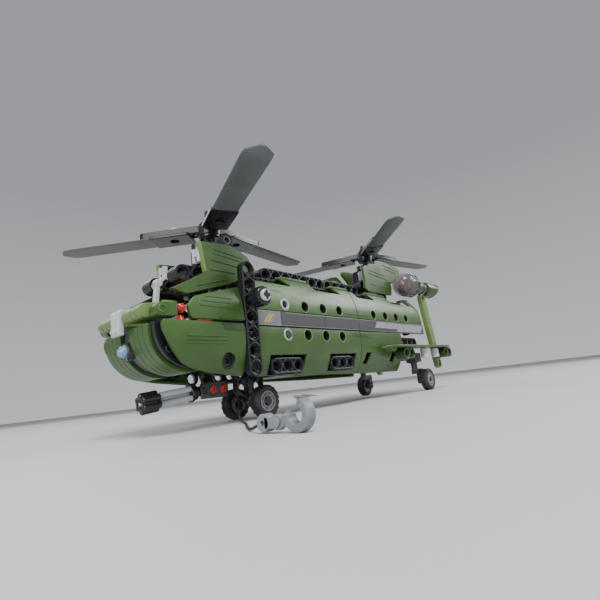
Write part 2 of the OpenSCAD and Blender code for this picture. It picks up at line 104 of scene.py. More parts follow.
class Wire:
    """A number in a shader tree; arithmetic on it adds Math nodes."""

    def __init__(self, graph: "Graph", socket: bpy.types.NodeSocket) -> None:
        """Wraps a socket of the graph."""
        self.graph = graph
        self.socket = socket

    def _maths(self, operation: str, *values: "Wire | float") -> "Wire":
        """One Math node.

        Args:
            operation: the node's operation.
            values: its inputs in order.

        Returns:
            The result as a wire.
        """
        node = self.graph.node("ShaderNodeMath", {"operation": operation}, dict(enumerate(values)))
        return Wire(self.graph, node.outputs[0])

    def __add__(self, other: "Wire | float") -> "Wire":
        """self + other."""
        return self._maths("ADD", self, other)

    __radd__ = __add__

    def __sub__(self, other: "Wire | float") -> "Wire":
        """self - other."""
        return self._maths("SUBTRACT", self, other)

    def __rsub__(self, other: "Wire | float") -> "Wire":
        """other - self."""
        return self._maths("SUBTRACT", other, self)

    def __mul__(self, other: "Wire | float") -> "Wire":
        """self times other."""
        return self._maths("MULTIPLY", self, other)

    __rmul__ = __mul__

    def __truediv__(self, other: "Wire | float") -> "Wire":
        """self over other."""
        return self._maths("DIVIDE", self, other)

    def __gt__(self, other: "Wire | float") -> "Wire":
        """1 where self is above other, else 0."""
        return self._maths("GREATER_THAN", self, other)

    def __lt__(self, other: "Wire | float") -> "Wire":
        """1 where self is below other, else 0."""
        return self._maths("LESS_THAN", self, other)

    def __abs__(self) -> "Wire":
        """The size of self without its sign."""
        return self._maths("ABSOLUTE", self)

    def ramp(self, low: float, high: float) -> "Wire":
        """0 at low, 1 at high, straight between and clamped.

        Args:
            low: value that gives 0.
            high: value that gives 1.

        Returns:
            The ramped value.
        """
        node = self.graph.node("ShaderNodeMapRange", {"clamp": True},
                               {0: self, 1: low, 2: high, 3: 0.0, 4: 1.0})
        return Wire(self.graph, node.outputs[0])

    def wrap(self, size: float) -> "Wire":
        """self counted from 0 again every size."""
        return self._maths("WRAP", self, size, 0.0)

    def sine(self) -> "Wire":
        """The sine of self in radians."""
        return self._maths("SINE", self)


class Graph:
    """The node tree of one material."""

    def __init__(self, name: str) -> None:
        """Starts a material that holds only its output and its main shader."""
        self.material = bpy.data.materials.new(name)
        self.material.use_nodes = True
        self.tree = self.material.node_tree
        self.tree.nodes.clear()
        self.output = self.node("ShaderNodeOutputMaterial")
        self.shader = self.node("ShaderNodeBsdfPrincipled")
        self.tree.links.new(self.shader.outputs[0], self.output.inputs[0])

    def node(self, kind: str, settings: dict | None = None, values: dict | None = None) -> bpy.types.Node:
        """Makes any node.

        Args:
            kind: the node's type.
            settings: properties set before the inputs; "stops" sets a ramp's positions and colours.
            values: numbers, wires or sockets by input name or index.

        Returns:
            The node.
        """
        made = self.tree.nodes.new(kind)
        for key, value in (settings or {}).items():
            if key == "stops":
                ramp = made.color_ramp
                while len(ramp.elements) < len(value):
                    ramp.elements.new(1.0)
                for element, (place, colour) in zip(ramp.elements, value):
                    element.position, element.color = place, colour
            else:
                setattr(made, key, value)
        for key, value in (values or {}).items():
            self.feed(made.inputs[key], value)
        return made

    def feed(self, socket: bpy.types.NodeSocket, value: object) -> None:
        """Links or sets one input."""
        if isinstance(value, Wire):
            value = value.socket
        if isinstance(value, bpy.types.NodeSocket):
            self.tree.links.new(value, socket)
        else:
            socket.default_value = value

    def place(self) -> bpy.types.NodeSocket:
        """Object coordinates in metres."""
        return self.node("ShaderNodeTexCoord").outputs["Object"]

    def axis(self, letter: str) -> Wire:
        """One object coordinate in metres."""
        split = self.node("ShaderNodeSeparateXYZ", values={0: self.place()})
        return Wire(self, split.outputs[letter])

    def noise(self, scale: float, detail: float = 2.0, stretch: Sequence[float] = (1, 1, 1)) -> Wire:
        """Noise in object coordinates.

        Args:
            scale: features per metre.
            detail: octaves.
            stretch: scale along each axis.

        Returns:
            The noise, about 0.5.
        """
        mapped = self.node("ShaderNodeMapping", values={"Vector": self.place(), "Scale": stretch})
        made = self.node("ShaderNodeTexNoise",
                         values={"Vector": mapped.outputs[0], "Scale": scale, "Detail": detail})
        return Wire(self, made.outputs[0])

    def mix(self, factor: Wire | float, low: object, high: object) -> bpy.types.NodeSocket:
        """A colour between two colours."""
        made = self.node("ShaderNodeMix", {"data_type": "RGBA"}, {0: factor, 6: _rgba(low), 7: _rgba(high)})
        return made.outputs[2]

    def bump(self, height: Wire, depth: float, strength: float = 1.0) -> None:
        """Feeds a Bump node of that depth in metres to the shader's normal."""
        made = self.node("ShaderNodeBump", values={"Strength": strength, "Distance": depth, "Height": height})
        self.feed(self.shader.inputs["Normal"], made.outputs[0])

    def set(self, **values: object) -> None:
        """Sets or links the main shader's inputs; underscores stand for spaces."""
        for key, value in values.items():
            self.feed(self.shader.inputs[key.replace("_", " ")], value)


def _rgba(colour: object) -> object:
    """A colour as four numbers, or a socket as it is."""
    return (*colour, 1.0) if isinstance(colour, tuple) and len(colour) == 3 else colour


# ---------------------------------------------------------------- finishes


@dataclass(frozen=True)
class Moulded:
    """Moulded plastic with faint flow marks, handling scuffs and a painted highlight along its edges."""

    name: str
    slot: str
    colour: Colour
    roughness: float = 0.32
    # Colour of the painted edge highlight; when None, a lighter copy of the body colour.
    worn: Colour | None = None
    scuffs: float = 0.16

    def build(self) -> bpy.types.Material:
        """Returns the material."""
        graph = Graph(self.name)
        flow = graph.noise(55, 3, (1, 1.6, 1.6))
        fine = graph.noise(2600, 2)
        scratch = graph.noise(420, 4, (0.25, 1, 1.8)).ramp(0.56, 0.72)
        deep = tuple(c * 0.86 for c in self.colour)
        light = tuple(min(1.0, c * 1.12 + 0.003) for c in self.colour)
        body = graph.mix(flow.ramp(0.3, 0.7), deep, light)
        # Convex edges found by pointiness are lightened: a painted highlight where edges catch light, broken
        # up by the scuff noise.
        edge = self.worn or tuple(min(1.0, c * 1.5 + 0.02) for c in self.colour)
        pointed = Wire(graph, graph.node("ShaderNodeNewGeometry").outputs["Pointiness"])
        highlight_mask = pointed.ramp(0.53, 0.62) * (0.35 + 0.4 * scratch)
        graph.set(
            Base_Color=graph.mix(highlight_mask, body, edge),
            Roughness=self.roughness + self.scuffs * scratch + 0.05 * flow,
            IOR=1.53,
        )
        graph.bump(fine * 0.5 + 0.5 * graph.noise(420, 2), 0.000035, 0.5)
        return graph.material


@dataclass(frozen=True)
class Clear:
    """Transparent plastic with a little haze."""

    name: str
    slot: str
    colour: Colour
    alpha: float = 0.5
    roughness: float = 0.08

    def build(self) -> bpy.types.Material:
        """Returns the material."""
        graph = Graph(self.name)
        haze = graph.noise(300, 3)
        deep = tuple(c * 0.8 for c in self.colour)
        graph.set(
            Base_Color=graph.mix(haze.ramp(0.35, 0.7), deep, self.colour),
            Roughness=self.roughness + 0.08 * haze,
            IOR=1.49,
            Alpha=self.alpha + 0.12 * haze,
            Coat_Weight=0.6,
            Coat_Roughness=0.05,
        )
        graph.bump(haze, 0.00003, 0.3)
        return graph.material


@dataclass(frozen=True)
class Rubber:
    """Tyre rubber with a dusty bloom and a fine grain."""

    name: str
    slot: str
    colour: Colour
    roughness: float = 0.72

    def build(self) -> bpy.types.Material:
        """Returns the material."""
        graph = Graph(self.name)
        dust = graph.noise(180, 5)
        grain = graph.noise(3800, 2)
        bloom = tuple(c + 0.05 for c in self.colour)
        graph.set(
            Base_Color=graph.mix(dust.ramp(0.42, 0.75), self.colour, bloom),
            Roughness=self.roughness + 0.15 * dust,
            IOR=1.5,
        )
        graph.bump(grain, 0.00006, 0.6)
        return graph.material


@dataclass(frozen=True)
class Twine:
    """Twisted string whose strands run round it."""

    name: str
    slot: str
    colour: Colour

    def build(self) -> bpy.types.Material:
        """Returns the material."""
        graph = Graph(self.name)
        twist = (graph.axis("X") * 5200 + graph.axis("Y") * 5200 + graph.axis("Z") * 2600).sine()
        fuzz = graph.noise(5200, 3)
        strand = (twist * 0.5 + 0.5) * 0.7 + fuzz * 0.3
        light = tuple(c * 2.4 + 0.02 for c in self.colour)
        graph.set(Base_Color=graph.mix(strand.ramp(0.2, 0.9), self.colour, light), Roughness=0.85, IOR=1.45)
        graph.bump(strand, 0.0001, 0.8)
        return graph.material


@dataclass(frozen=True)
class Striped:
    """Printed side band: flat grey tiles with a pale field aft, thin outlines and two amber dashes."""

    name: str
    slot: str
    colour: Colour
    pale: Colour
    amber: Colour = (0.62, 0.36, 0.02)

    def build(self) -> bpy.types.Material:
        """Returns the material."""
        graph = Graph(self.name)
        along, height = graph.axis("X"), graph.axis("Z")
        centre = 3.5 * PITCH * MM
        off_centre = abs(height - centre)
        slant = along + (height - centre) * 0.9
        flow = graph.noise(70, 3)
        scuff = graph.noise(420, 4, (0.25, 1, 1.8)).ramp(0.55, 0.72)
        base = graph.mix(flow.ramp(0.3, 0.7), tuple(c * 0.85 for c in self.colour), self.colour)
        base = graph.mix((along > 6.5 * PITCH * MM) * 0.45, base, self.pale)
        field_start, field_end = -5.0 * PITCH * MM, -14.0 * PITCH * MM
        in_field = (slant < field_start) * (slant > field_end) * (off_centre < 0.0030)
        lower_dark = (height < centre - 0.0012) * (slant > -9.0 * PITCH * MM)
        shade = graph.mix(in_field * (1 - lower_dark), base, self.pale)
        dash = (off_centre < 0.0022) * (abs(slant.wrap(0.0021) - 0.0010) < 0.00055)
        dash = dash * (slant > 7.25 * PITCH * MM) * (slant < 7.78 * PITCH * MM)
        line = (abs(off_centre - 0.0034) < 0.00012) * (slant < 6.4 * PITCH * MM)
        marked = graph.mix(dash, graph.mix(line * 0.5, shade, self.pale), self.amber)
        graph.set(Base_Color=marked, Roughness=0.36 + 0.18 * scuff + 0.04 * flow, IOR=1.53)
        graph.bump(graph.noise(2600, 2), 0.00003, 0.5)
        return graph.material


class Tone(Enum):
    """The finishes of the model."""

    OLIVE = Moulded("olive_plastic", "green_plastic", (0.036, 0.088, 0.013), 0.31)
    DEEP_OLIVE = Moulded("deep_olive_plastic", "green_plastic", (0.018, 0.050, 0.009), 0.28)
    LIGHT_OLIVE = Moulded("light_olive_plastic", "light_green_plastic", (0.125, 0.200, 0.055), 0.30)
    # The fifth value of BLACK is the colour of its painted edge highlight.
    BLACK = Moulded("black_plastic", "black_plastic", (0.010, 0.011, 0.012), 0.27, (0.10, 0.105, 0.11))
    CHARCOAL = Moulded("charcoal_plastic", "dark_grey_plastic", (0.032, 0.034, 0.037), 0.31)
    BLADE = Moulded("blade_plastic", "dark_grey_plastic", (0.115, 0.120, 0.126), 0.38)
    SILVER = Moulded("light_grey_plastic", "light_grey_plastic", (0.46, 0.48, 0.50), 0.34)
    STONE = Moulded("mid_grey_plastic", "light_grey_plastic", (0.19, 0.20, 0.21), 0.36)
    RED = Moulded("red_plastic", "red_plastic", (0.42, 0.018, 0.012), 0.30)
    BAND = Striped("side_band", "dark_grey_plastic", (0.050, 0.052, 0.057), (0.27, 0.28, 0.30))
    LENS = Clear("clear_blue", "clear_blue", (0.03, 0.17, 0.50), 0.80)
    MARKER = Clear("clear_red", "clear_red", (0.60, 0.02, 0.012), 0.80)
    SMOKE = Clear("clear_smoke", "smoke_clear", (0.20, 0.185, 0.18), 0.34)
    TYRE = Rubber("tyre_rubber", "tyre", (0.014, 0.014, 0.015))
    STRING = Twine("black_twine", "string", (0.012, 0.012, 0.013))

    @property
    def slot(self) -> str:
        """The record's material slot."""
        return self.value.slot

    @property
    def material(self) -> bpy.types.Material:
        """The material, built once."""
        return bpy.data.materials.get(self.value.name) or self.value.build()


# ---------------------------------------------------------------- shapes


def arc(centre: Point2, radius: float, start: float, end: float, steps: int = 12) -> list[Point2]:
    """Points on an arc.

    Args:
        centre: its centre.
        radius: its radius.
        start: first angle in degrees.
        end: last angle in degrees.
        steps: number of chords.

    Returns:
        The points, both ends included.
    """
    turns = (math.radians(start + (end - start) * i / steps) for i in range(steps + 1))
    return [(centre[0] + radius * math.cos(t), centre[1] + radius * math.sin(t)) for t in turns]


def circle(centre: Point2, radius: float, steps: int = 32) -> list[Point2]:
    """A closed round outline."""
    return arc(centre, radius, 0, 360, steps)[:-1]


def rounded(corners: Sequence[Point2], radius: float, steps: int = 3) -> list[Point2]:
    """An outline with its corners cut round.

    Args:
        corners: the sharp corners in order.
        radius: how far from a corner the rounding starts, at most.
        steps: chords in each corner.

    Returns:
        The rounded outline.
    """
    points: list[Point2] = []
    count = len(corners)
    for i, corner in enumerate(corners):
        here = Vector(corner)
        before, after = Vector(corners[i - 1]) - here, Vector(corners[(i + 1) % count]) - here
        reach = min(radius, before.length * 0.45, after.length * 0.45)
        first, last = here + before.normalized() * reach, here + after.normalized() * reach
        for k in range(steps + 1):
            t = k / steps
            spot = first * (1 - t) ** 2 + here * 2 * t * (1 - t) + last * t * t
            points.append((spot.x, spot.y))
    return points


class Solid:
    """A closed shape under construction, in millimetres."""

    def __init__(self, bm: bmesh.types.BMesh | None = None) -> None:
        """Starts empty, or around a mesh."""
        self.bm = bm or bmesh.new()

    @staticmethod
    def plate(loops: Sequence[Sequence[Point2]], thick: float, edge: float = EDGE,
              lie: Lie = Lie.XY) -> "Solid":
        """A flat plate with rounded edges, centred on its own plane.

        Args:
            loops: the outline first, then its holes.
            thick: its thickness.
            edge: radius of the rounded edges.
            lie: how it is stood up.

        Returns:
            The plate.
        """
        curve = bpy.data.curves.new("outline", "CURVE")
        curve.dimensions, curve.fill_mode = "2D", "BOTH"
        for loop in loops:
            spline = curve.splines.new("POLY")
            spline.points.add(len(loop) - 1)
            spline.use_cyclic_u = True
            for point, (x, y) in zip(spline.points, loop):
                point.co = (x, y, 0.0, 1.0)
        curve.extrude, curve.bevel_depth, curve.offset = thick / 2 - edge, edge, -edge
        curve.bevel_resolution = 1
        holder = bpy.data.objects.new("outline", curve)
        mesh = bpy.data.meshes.new_from_object(holder)
        solid = Solid()
        solid.bm.from_mesh(mesh)
        bpy.data.objects.remove(holder)
        bpy.data.curves.remove(curve)
        bpy.data.meshes.remove(mesh)
        bmesh.ops.remove_doubles(solid.bm, verts=solid.bm.verts, dist=1e-4)
        return solid.turned(lie.value)

    @staticmethod
    def lathe(profile: Sequence[Point2], axis: Axis = Axis.Z, steps: int = 48) -> "Solid":
        """A turned shape.

        Args:
            profile: closed outline as (radius, height) pairs.
            axis: where its height points.
            steps: faces round it.

        Returns:
            The shape.
        """
        solid = Solid()
        bm = solid.bm
        rings: list[list[bmesh.types.BMVert]] = []
        for radius, height in profile:
            if radius < 1e-6:
                rings.append([bm.verts.new((0, 0, height))])
                continue
            turns = (2 * math.pi * i / steps for i in range(steps))
            rings.append([bm.verts.new((radius * math.cos(t), radius * math.sin(t), height)) for t in turns])
        for low, high in zip(rings, rings[1:] + rings[:1]):
            if len(low) == 1 and len(high) == 1:
                continue
            for i in range(steps):
                j = (i + 1) % steps
                corners = [low[i % len(low)], low[j % len(low)], high[j % len(high)], high[i % len(high)]]
                bm.faces.new(list(dict.fromkeys(corners)))
        bmesh.ops.recalc_face_normals(bm, faces=bm.faces)
        return solid.turned(axis.value)

    @staticmethod
    def rod(radius: float, start: float, end: float, axis: Axis = Axis.Z, edge: float = EDGE,
            steps: int = 32) -> "Solid":
        """A round bar with rounded ends along an axis."""
        profile = [(0, start), (radius - edge, start), (radius, start + edge),
                   (radius, end - edge), (radius - edge, end), (0, end)]
        return Solid.lathe(profile, axis, steps)

    @staticmethod
    def tube(inner: float, outer: float, start: float, end: float, axis: Axis = Axis.Z,
             edge: float = EDGE, steps: int = 32) -> "Solid":
        """A round bar with a bore."""
        profile = [(inner, start), (outer - edge, start), (outer, start + edge),
                   (outer, end - edge), (outer - edge, end), (inner, end)]
        return Solid.lathe(profile, axis, steps)

    @staticmethod
    def box(low: Sequence[float], high: Sequence[float], edge: float = EDGE) -> "Solid":
        """A block with rounded edges between two corners."""
        size = Vector(high) - Vector(low)
        middle = (Vector(high) + Vector(low)) / 2
        x, y = size.x / 2, size.y / 2
        block = Solid.plate([[(-x, -y), (x, -y), (x, y), (-x, y)]], size.z, min(edge, min(size) * 0.3))
        return block.moved(*middle)

    @staticmethod
    def loft(rings: Sequence[Sequence[Sequence[float]]]) -> "Solid":
        """A skin over rings of equally many points, closed at both ends."""
        solid = Solid()
        made = [[solid.bm.verts.new(p) for p in ring] for ring in rings]
        for low, high in zip(made, made[1:]):
            for i in range(len(low)):
                j = (i + 1) % len(low)
                solid.bm.faces.new((low[i], low[j], high[j], high[i]))
        solid.bm.faces.new(made[0])
        solid.bm.faces.new(made[-1])
        bmesh.ops.recalc_face_normals(solid.bm, faces=solid.bm.faces)
        return solid

    def turned(self, matrix: Matrix) -> "Solid":
        """Turns the shape by a matrix and returns it."""
        self.bm.transform(matrix)
        return self

    def spun(self, degrees: float, letter: str = "Z") -> "Solid":
        """Turns the shape about an axis through the origin and returns it."""
        return self.turned(Matrix.Rotation(math.radians(degrees), 4, letter))

    def moved(self, x: float = 0.0, y: float = 0.0, z: float = 0.0) -> "Solid":
        """Moves the shape and returns it."""
        return self.turned(Matrix.Translation((x, y, z)))

    def sliced(self, letter: str, levels: Iterable[float]) -> "Solid":
        """Adds edges where planes across an axis cut the faces, so that the shape can bend."""
        index = "XYZ".index(letter)
        for level in levels:
            spot, normal = [0.0] * 3, [0.0] * 3
            spot[index], normal[index] = level, 1.0
            everything = list(self.bm.verts) + list(self.bm.edges) + list(self.bm.faces)
            bmesh.ops.bisect_plane(self.bm, geom=everything, dist=1e-5, plane_co=spot, plane_no=normal)
        return self

    def bent(self, place: Callable[[Vector], Vector]) -> "Solid":
        """Moves each point by a rule and makes the faces point outwards."""
        for vert in self.bm.verts:
            vert.co = place(vert.co)
        bmesh.ops.recalc_face_normals(self.bm, faces=self.bm.faces)
        return self

    def copy(self) -> "Solid":
        """A second shape like this one."""
        return Solid(self.bm.copy())

    def mirrored(self) -> "Solid":
        """The same shape on the other side of the hull."""
        other = self.copy()
        other.bm.transform(Matrix.Scale(-1, 4, (0, 1, 0)))
        bmesh.ops.reverse_faces(other.bm, faces=other.bm.faces)
        return other

    def on(self, side: Side) -> "Solid":
        """A copy of a shape drawn to port, on that side."""
        return self.copy() if side is Side.PORT else self.mirrored()

    def add(self, *others: "Solid") -> "Solid":
        """Takes other shapes in and returns the whole."""
        for other in others:
            mesh = bpy.data.meshes.new("part")
            other.bm.to_mesh(mesh)
            self.bm.from_mesh(mesh)
            bpy.data.meshes.remove(mesh)
        return self

    def mesh(self, name: str) -> bpy.types.Mesh:
        """The shape as a mesh in metres."""
        made = bpy.data.meshes.new(name)
        scaled = self.bm.copy()
        scaled.transform(Matrix.Scale(MM, 4))
        scaled.to_mesh(made)
        scaled.free()
        made.shade_smooth()
        made.set_sharp_from_angle(angle=SMOOTH_ANGLE)
        return made


def both(shape: Solid) -> Solid:
    """A shape drawn to port and its mirror image in one."""
    return shape.copy().add(shape.mirrored())


def joint_at(name: str) -> Vector:
    """A joint's anchor in millimetres."""
    found = next(j for j in FRAME["joints"] if j["name"] == name)
    return Vector(found["pos_m"]) / MM


def piece(shape: Solid, name: str, tone: Tone, body: str = "airframe",
          stands_for: Sequence[str] = ()) -> bpy.types.Object:
    """Makes an object of a shape and hangs it on a body.

    Args:
        shape: the shape in millimetres.
        name: the piece's name.
        tone: its finish.
        body: the CAD body it rides on.
        stands_for: CAD nodes it replaces.

    Returns:
        The object.
    """
    made = bpy.data.objects.new(name, shape.mesh(name))
    bpy.context.scene.collection.objects.link(made)
    made.data.materials.clear()
    made.data.materials.append(tone.material)
    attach(made, body)
    tone.slot
    if stands_for:
        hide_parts(*stands_for)
    LOG.info("%s: %d faces, %s", name, len(made.data.polygons), tone.name.lower())
    return made


# ---------------------------------------------------------------- geometry nodes


class Repeater:
    """A Geometry Nodes tree that lays out copies of a mesh by a step and a turn."""

    def __init__(self) -> None:
        """Builds the tree once."""
        self.tree = bpy.data.node_groups.new("repeat_with_step_and_turn", "GeometryNodeTree")
        face = self.tree.interface
        face.new_socket("Geometry", in_out="INPUT", socket_type="NodeSocketGeometry")
        for name, kind in (("Count", "NodeSocketInt"), ("Step", "NodeSocketVector"),
                           ("Turn", "NodeSocketVector"),
                           ("Finish", "NodeSocketMaterial")):
            face.new_socket(name, in_out="INPUT", socket_type=kind)
        face.new_socket("Geometry", in_out="OUTPUT", socket_type="NodeSocketGeometry")
        source = self._node("NodeGroupInput")
        line = self._node("GeometryNodeMeshLine", {"mode": "OFFSET"}, {"Count": source.outputs["Count"],
                          "Start Location": (0, 0, 0), "Offset": source.outputs["Step"]})
        index = self._node("GeometryNodeInputIndex")
        turn = self._node("ShaderNodeVectorMath", {"operation": "SCALE"}, {0: source.outputs["Turn"],
                          "Scale": index.outputs[0]})
        copies = self._node("GeometryNodeInstanceOnPoints", values={"Points": line.outputs[0],
                            "Instance": source.outputs["Geometry"], "Rotation": turn.outputs[0]})
        real = self._node("GeometryNodeRealizeInstances", values={0: copies.outputs[0]})
        dressed = self._node("GeometryNodeSetMaterial", values={"Geometry": real.outputs[0],
                             "Material": source.outputs["Finish"]})
        self._node("NodeGroupOutput", values={0: dressed.outputs[0]})

    def _node(self, kind: str, settings: dict | None = None, values: dict | None = None) -> bpy.types.Node:
        """Makes one node, sets its properties, then sets or links its inputs."""
        made = self.tree.nodes.new(kind)
        for key, value in (settings or {}).items():
            setattr(made, key, value)
        for key, value in (values or {}).items():
            if isinstance(value, bpy.types.NodeSocket):
                self.tree.links.new(value, made.inputs[key])
            else:
                made.inputs[key].default_value = value
        return made

    def spread(self, shape: Solid, count: int, step: Sequence[float] = (0, 0, 0),
               turn: Sequence[float] = (0, 0, 0), tone: Tone = Tone.BLACK) -> Solid:
        """Copies of a shape.

        Args:
            shape: what repeats, in millimetres.
            count: how many.
            step: how far each copy is from the one before.
            turn: degrees about X, Y and Z from one copy to the next, about the origin.
            tone: the finish set on the result.

        Returns:
            All the copies as one shape.
        """
        holder = bpy.data.objects.new("seed", shape.mesh("seed"))
        bpy.context.scene.collection.objects.link(holder)
        modifier = holder.modifiers.new("repeat", "NODES")
        modifier.node_group = self.tree
        wanted = {"Count": count, "Step": tuple(s * MM for s in step),
                  "Turn": tuple(math.radians(t) for t in turn), "Finish": tone.material}
        for item in self.tree.interface.items_tree:
            if item.item_type == "SOCKET" and item.in_out == "INPUT" and item.name in wanted:
                modifier[item.identifier] = wanted[item.name]
        graph = bpy.context.evaluated_depsgraph_get()
        mesh = bpy.data.meshes.new_from_object(holder.evaluated_get(graph))
        result = Solid()
        result.bm.from_mesh(mesh)
        result.bm.transform(Matrix.Scale(1 / MM, 4))
        seed = holder.data
        bpy.data.objects.remove(holder)
        bpy.data.meshes.remove(seed)
        bpy.data.meshes.remove(mesh)
        return result


REPEATER = Repeater()

# ---------------------------------------------------------------- studio and string


class Studio:
    """Camera, floor and soft lights."""

    FLOOR_Z = -20.2
    LOW_SKY = (0.60, 0.61, 0.625)
    HIGH_SKY = (0.36, 0.375, 0.40)

    def camera(self) -> None:
        """Sets the low three-quarter view from the port bow, slightly rolled."""
        data = bpy.data.cameras.new("camera")
        data.lens, data.sensor_width = 23.34, 36.0
        data.clip_start, data.clip_end = 0.002, 20.0
        made = bpy.data.objects.new("camera", data)
        bpy.context.scene.collection.objects.link(made)
        eye, target, roll = Vector((193.9, 164.9, -7.8)), Vector((46.3, 37.3, 36.3)), math.radians(-6.67)
        ahead = (target - eye).normalized()
        level = ahead.cross(Vector((0, 0, 1))).normalized()
        above = level.cross(ahead)
        right = level * math.cos(roll) + above * math.sin(roll)
        up = right.cross(ahead)
        made.matrix_world = Matrix.Translation(eye * MM) @ Matrix((right, up, -ahead)).transposed().to_4x4()
        bpy.context.scene.camera = made

    def floor(self) -> None:
        """Lays the pale floor."""
        mesh = bpy.data.meshes.new("floor")
        mesh.from_pydata([(x, y, self.FLOOR_Z * MM) for x, y in ((-6, -6), (6, -6), (6, 6), (-6, 6))], [],
                         [(0, 1, 2, 3)])
        made = bpy.data.objects.new("floor", mesh)
        bpy.context.scene.collection.objects.link(made)
        graph = Graph("pale_floor")
        mottle = graph.noise(6, 4)
        graph.set(Base_Color=graph.mix(mottle.ramp(0.3, 0.7), (0.49, 0.495, 0.50), (0.52, 0.525, 0.53)),
                  Roughness=0.6)
        mesh.materials.append(graph.material)

    def lights(self) -> None:
        """Hangs large soft lights and a pale surround."""
        world = bpy.data.worlds.new("surround")
        world.use_nodes = True
        tree = world.node_tree
        height = tree.nodes.new("ShaderNodeSeparateXYZ")
        shade = tree.nodes.new("ShaderNodeValToRGB")
        shade.color_ramp.elements[0].position, shade.color_ramp.elements[0].color = 0.0, (*self.LOW_SKY, 1)
        shade.color_ramp.elements[1].position, shade.color_ramp.elements[1].color = 0.45, (*self.HIGH_SKY, 1)
        tree.links.new(tree.nodes.new("ShaderNodeTexCoord").outputs["Generated"], height.inputs[0])
        tree.links.new(height.outputs["Z"], shade.inputs[0])
        tree.links.new(shade.outputs[0], tree.nodes["Background"].inputs["Color"])
        bpy.context.scene.world = world
        for name, spot, aim, size, power in (
            ("window", (0.30, 0.55, 0.95), (0, 0, 0.02), 0.5, 15.0),
            ("bow_fill", (0.9, 0.25, 0.30), (0.03, 0, 0.02), 0.5, 4.0),
            ("stern_rim", (-0.8, 0.45, 0.55), (-0.05, 0, 0.05), 0.4, 4.5),
            ("starboard_fill", (0.0, -0.8, 0.6), (0, 0, 0.02), 0.7, 3.0),
        ):
            data = bpy.data.lights.new(name, "AREA")
            data.size, data.energy = size, power
            made = bpy.data.objects.new(name, data)
            bpy.context.scene.collection.objects.link(made)
            made.location = spot
            made.rotation_euler = (Vector(aim) - Vector(spot)).to_track_quat("-Z", "Y").to_euler()


class WinchString:
    """The cargo string, its shackle and its hook, laid out on the floor."""

    RADIUS = 0.5
    ROUTE = (
        (53, 1.5, 1), (53.4, 1.6, -1.5), (55.5, 1.8, -4.6), (58.8, 2.6, -7.6), (62.4, 4.4, -9.9),
        (65.8, 7.2, -12),
        (68.4, 8.9, -13.3), (70.6, 10.9, -15), (72.2, 13.4, -17.2), (73.7, 16.4, -18.9), (75.4, 19.6, -19.7),
        (79, 25.6, -19.7), (84, 32.4, -19.7), (89.4, 39.2, -19.7), (94.4, 45.6, -19.7), (99.2, 52, -19.65),
        (103.6, 58.6, -19.2), (106.2, 63.8, -18.2), (107, 67.1, -17.2),
    )

    def build(self) -> None:
        curve = bpy.data.curves.new("winch_cord", "CURVE")
        curve.dimensions, curve.bevel_depth, curve.bevel_resolution = "3D", self.RADIUS * MM, 3
        curve.use_fill_caps = True
        spline = curve.splines.new("POLY")
        path = self.smooth(3)
        spline.points.add(len(path) - 1)
        for point, spot in zip(spline.points, path):
            point.co = (*(spot * MM), 1.0)
        made = bpy.data.objects.new("winch_cord", curve)
        bpy.context.scene.collection.objects.link(made)
        curve.materials.append(Tone.STRING.material)
        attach(made, "airframe")
        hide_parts("winch_string")
        length = sum((b - a).length for a, b in zip(path, path[1:])) * MM
        tuple(path[0] * MM)
        Winch.tackle()
        LOG.info("winch_cord: %.1f mm long", length / MM)

    def smooth(self, steps: int) -> list[Vector]:
        """The route with rounded corners.

        Args:
            steps: points put in each leg.

        Returns:
            The points, ends included.
        """
        spots = [Vector(p) for p in self.ROUTE]
        path = []
        for i in range(len(spots) - 1):
            a, b, c, d = spots[max(i - 1, 0)], spots[i], spots[i + 1], spots[min(i + 2, len(spots) - 1)]
            for k in range(steps):
                t = k / steps
                path.append(0.5 * (2 * b + (c - a) * t + (2 * a - 5 * b + 4 * c - d) * t ** 2
                                   + (3 * b - a - 3 * c + d) * t ** 3))
        return path + [spots[-1]]

# ---------------------------------------------------------------- bricks shared by all regions


def up(*values: float) -> tuple[float, ...]:
    """Hole pitches as millimetres."""
    return tuple(v * PITCH for v in values)


def ringed(outline: Sequence[Point2]) -> list[Point2]:
    """An outline given in pitches, in millimetres."""
    return [(x * PITCH, y * PITCH) for x, y in outline]


def beam(count: int, centre: Sequence[float], lie: Lie, thick: float = BEAM_W, tilt: float = 0.0) -> Solid:
    """A round-ended beam with counterbored holes and pockets between them.

    Args:
        count: number of holes.
        centre: its middle in pitches.
        lie: first letter its length, second its width.
        thick: its size along the holes.
        tilt: degrees about Y, applied before it is placed.

    Returns:
        The beam.
    """
    half = (count - 1) / 2 * PITCH
    edge_y = BEAM_W / 2
    outline = arc((half, 0), edge_y, -90, 90, 10) + arc((-half, 0), edge_y, 90, 270, 10)
    spots = [(i * PITCH - half, 0.0) for i in range(count)]
    bores = [circle(spot, COUNTERBORE_R, 24) for spot in spots]
    pockets = []
    for x, _ in spots[:-1]:
        middle = x + PITCH / 2
        for sign in (1, -1):
            left = arc((x, 0), 3.85, sign * 16, sign * 52, 4)
            pockets.append(left + [(2 * middle - px, py) for px, py in reversed(left)])
    whole = Solid.plate([outline, *bores, *pockets], thick)
    inner = arc((half, 0), edge_y - 0.4, -90, 90, 10) + arc((-half, 0), edge_y - 0.4, 90, 270, 10)
    whole.add(Solid.plate([inner, *(circle(spot, HOLE_R, 24) for spot in spots)],
                          thick - 2 * COUNTERBORE_DEPTH, 0.1))
    return whole.turned(lie.value).spun(tilt, "Y").moved(*up(*centre))


def cross_axle(start: float, end: float, axis: Axis = Axis.Z) -> Solid:
    """An axle of cross section between two places along an axis."""
    arm, reach = 0.92, 2.33
    quarter = [(reach, arm), (arm, arm), (arm, reach)]
    outline: list[Point2] = []
    for turn in range(4):
        c, s = (1, 0, -1, 0)[turn], (0, 1, 0, -1)[turn]
        outline += [(x * c - y * s, x * s + y * c) for x, y in quarter]
    return Solid.plate([outline], end - start, 0.15).moved(z=(start + end) / 2).turned(axis.value)


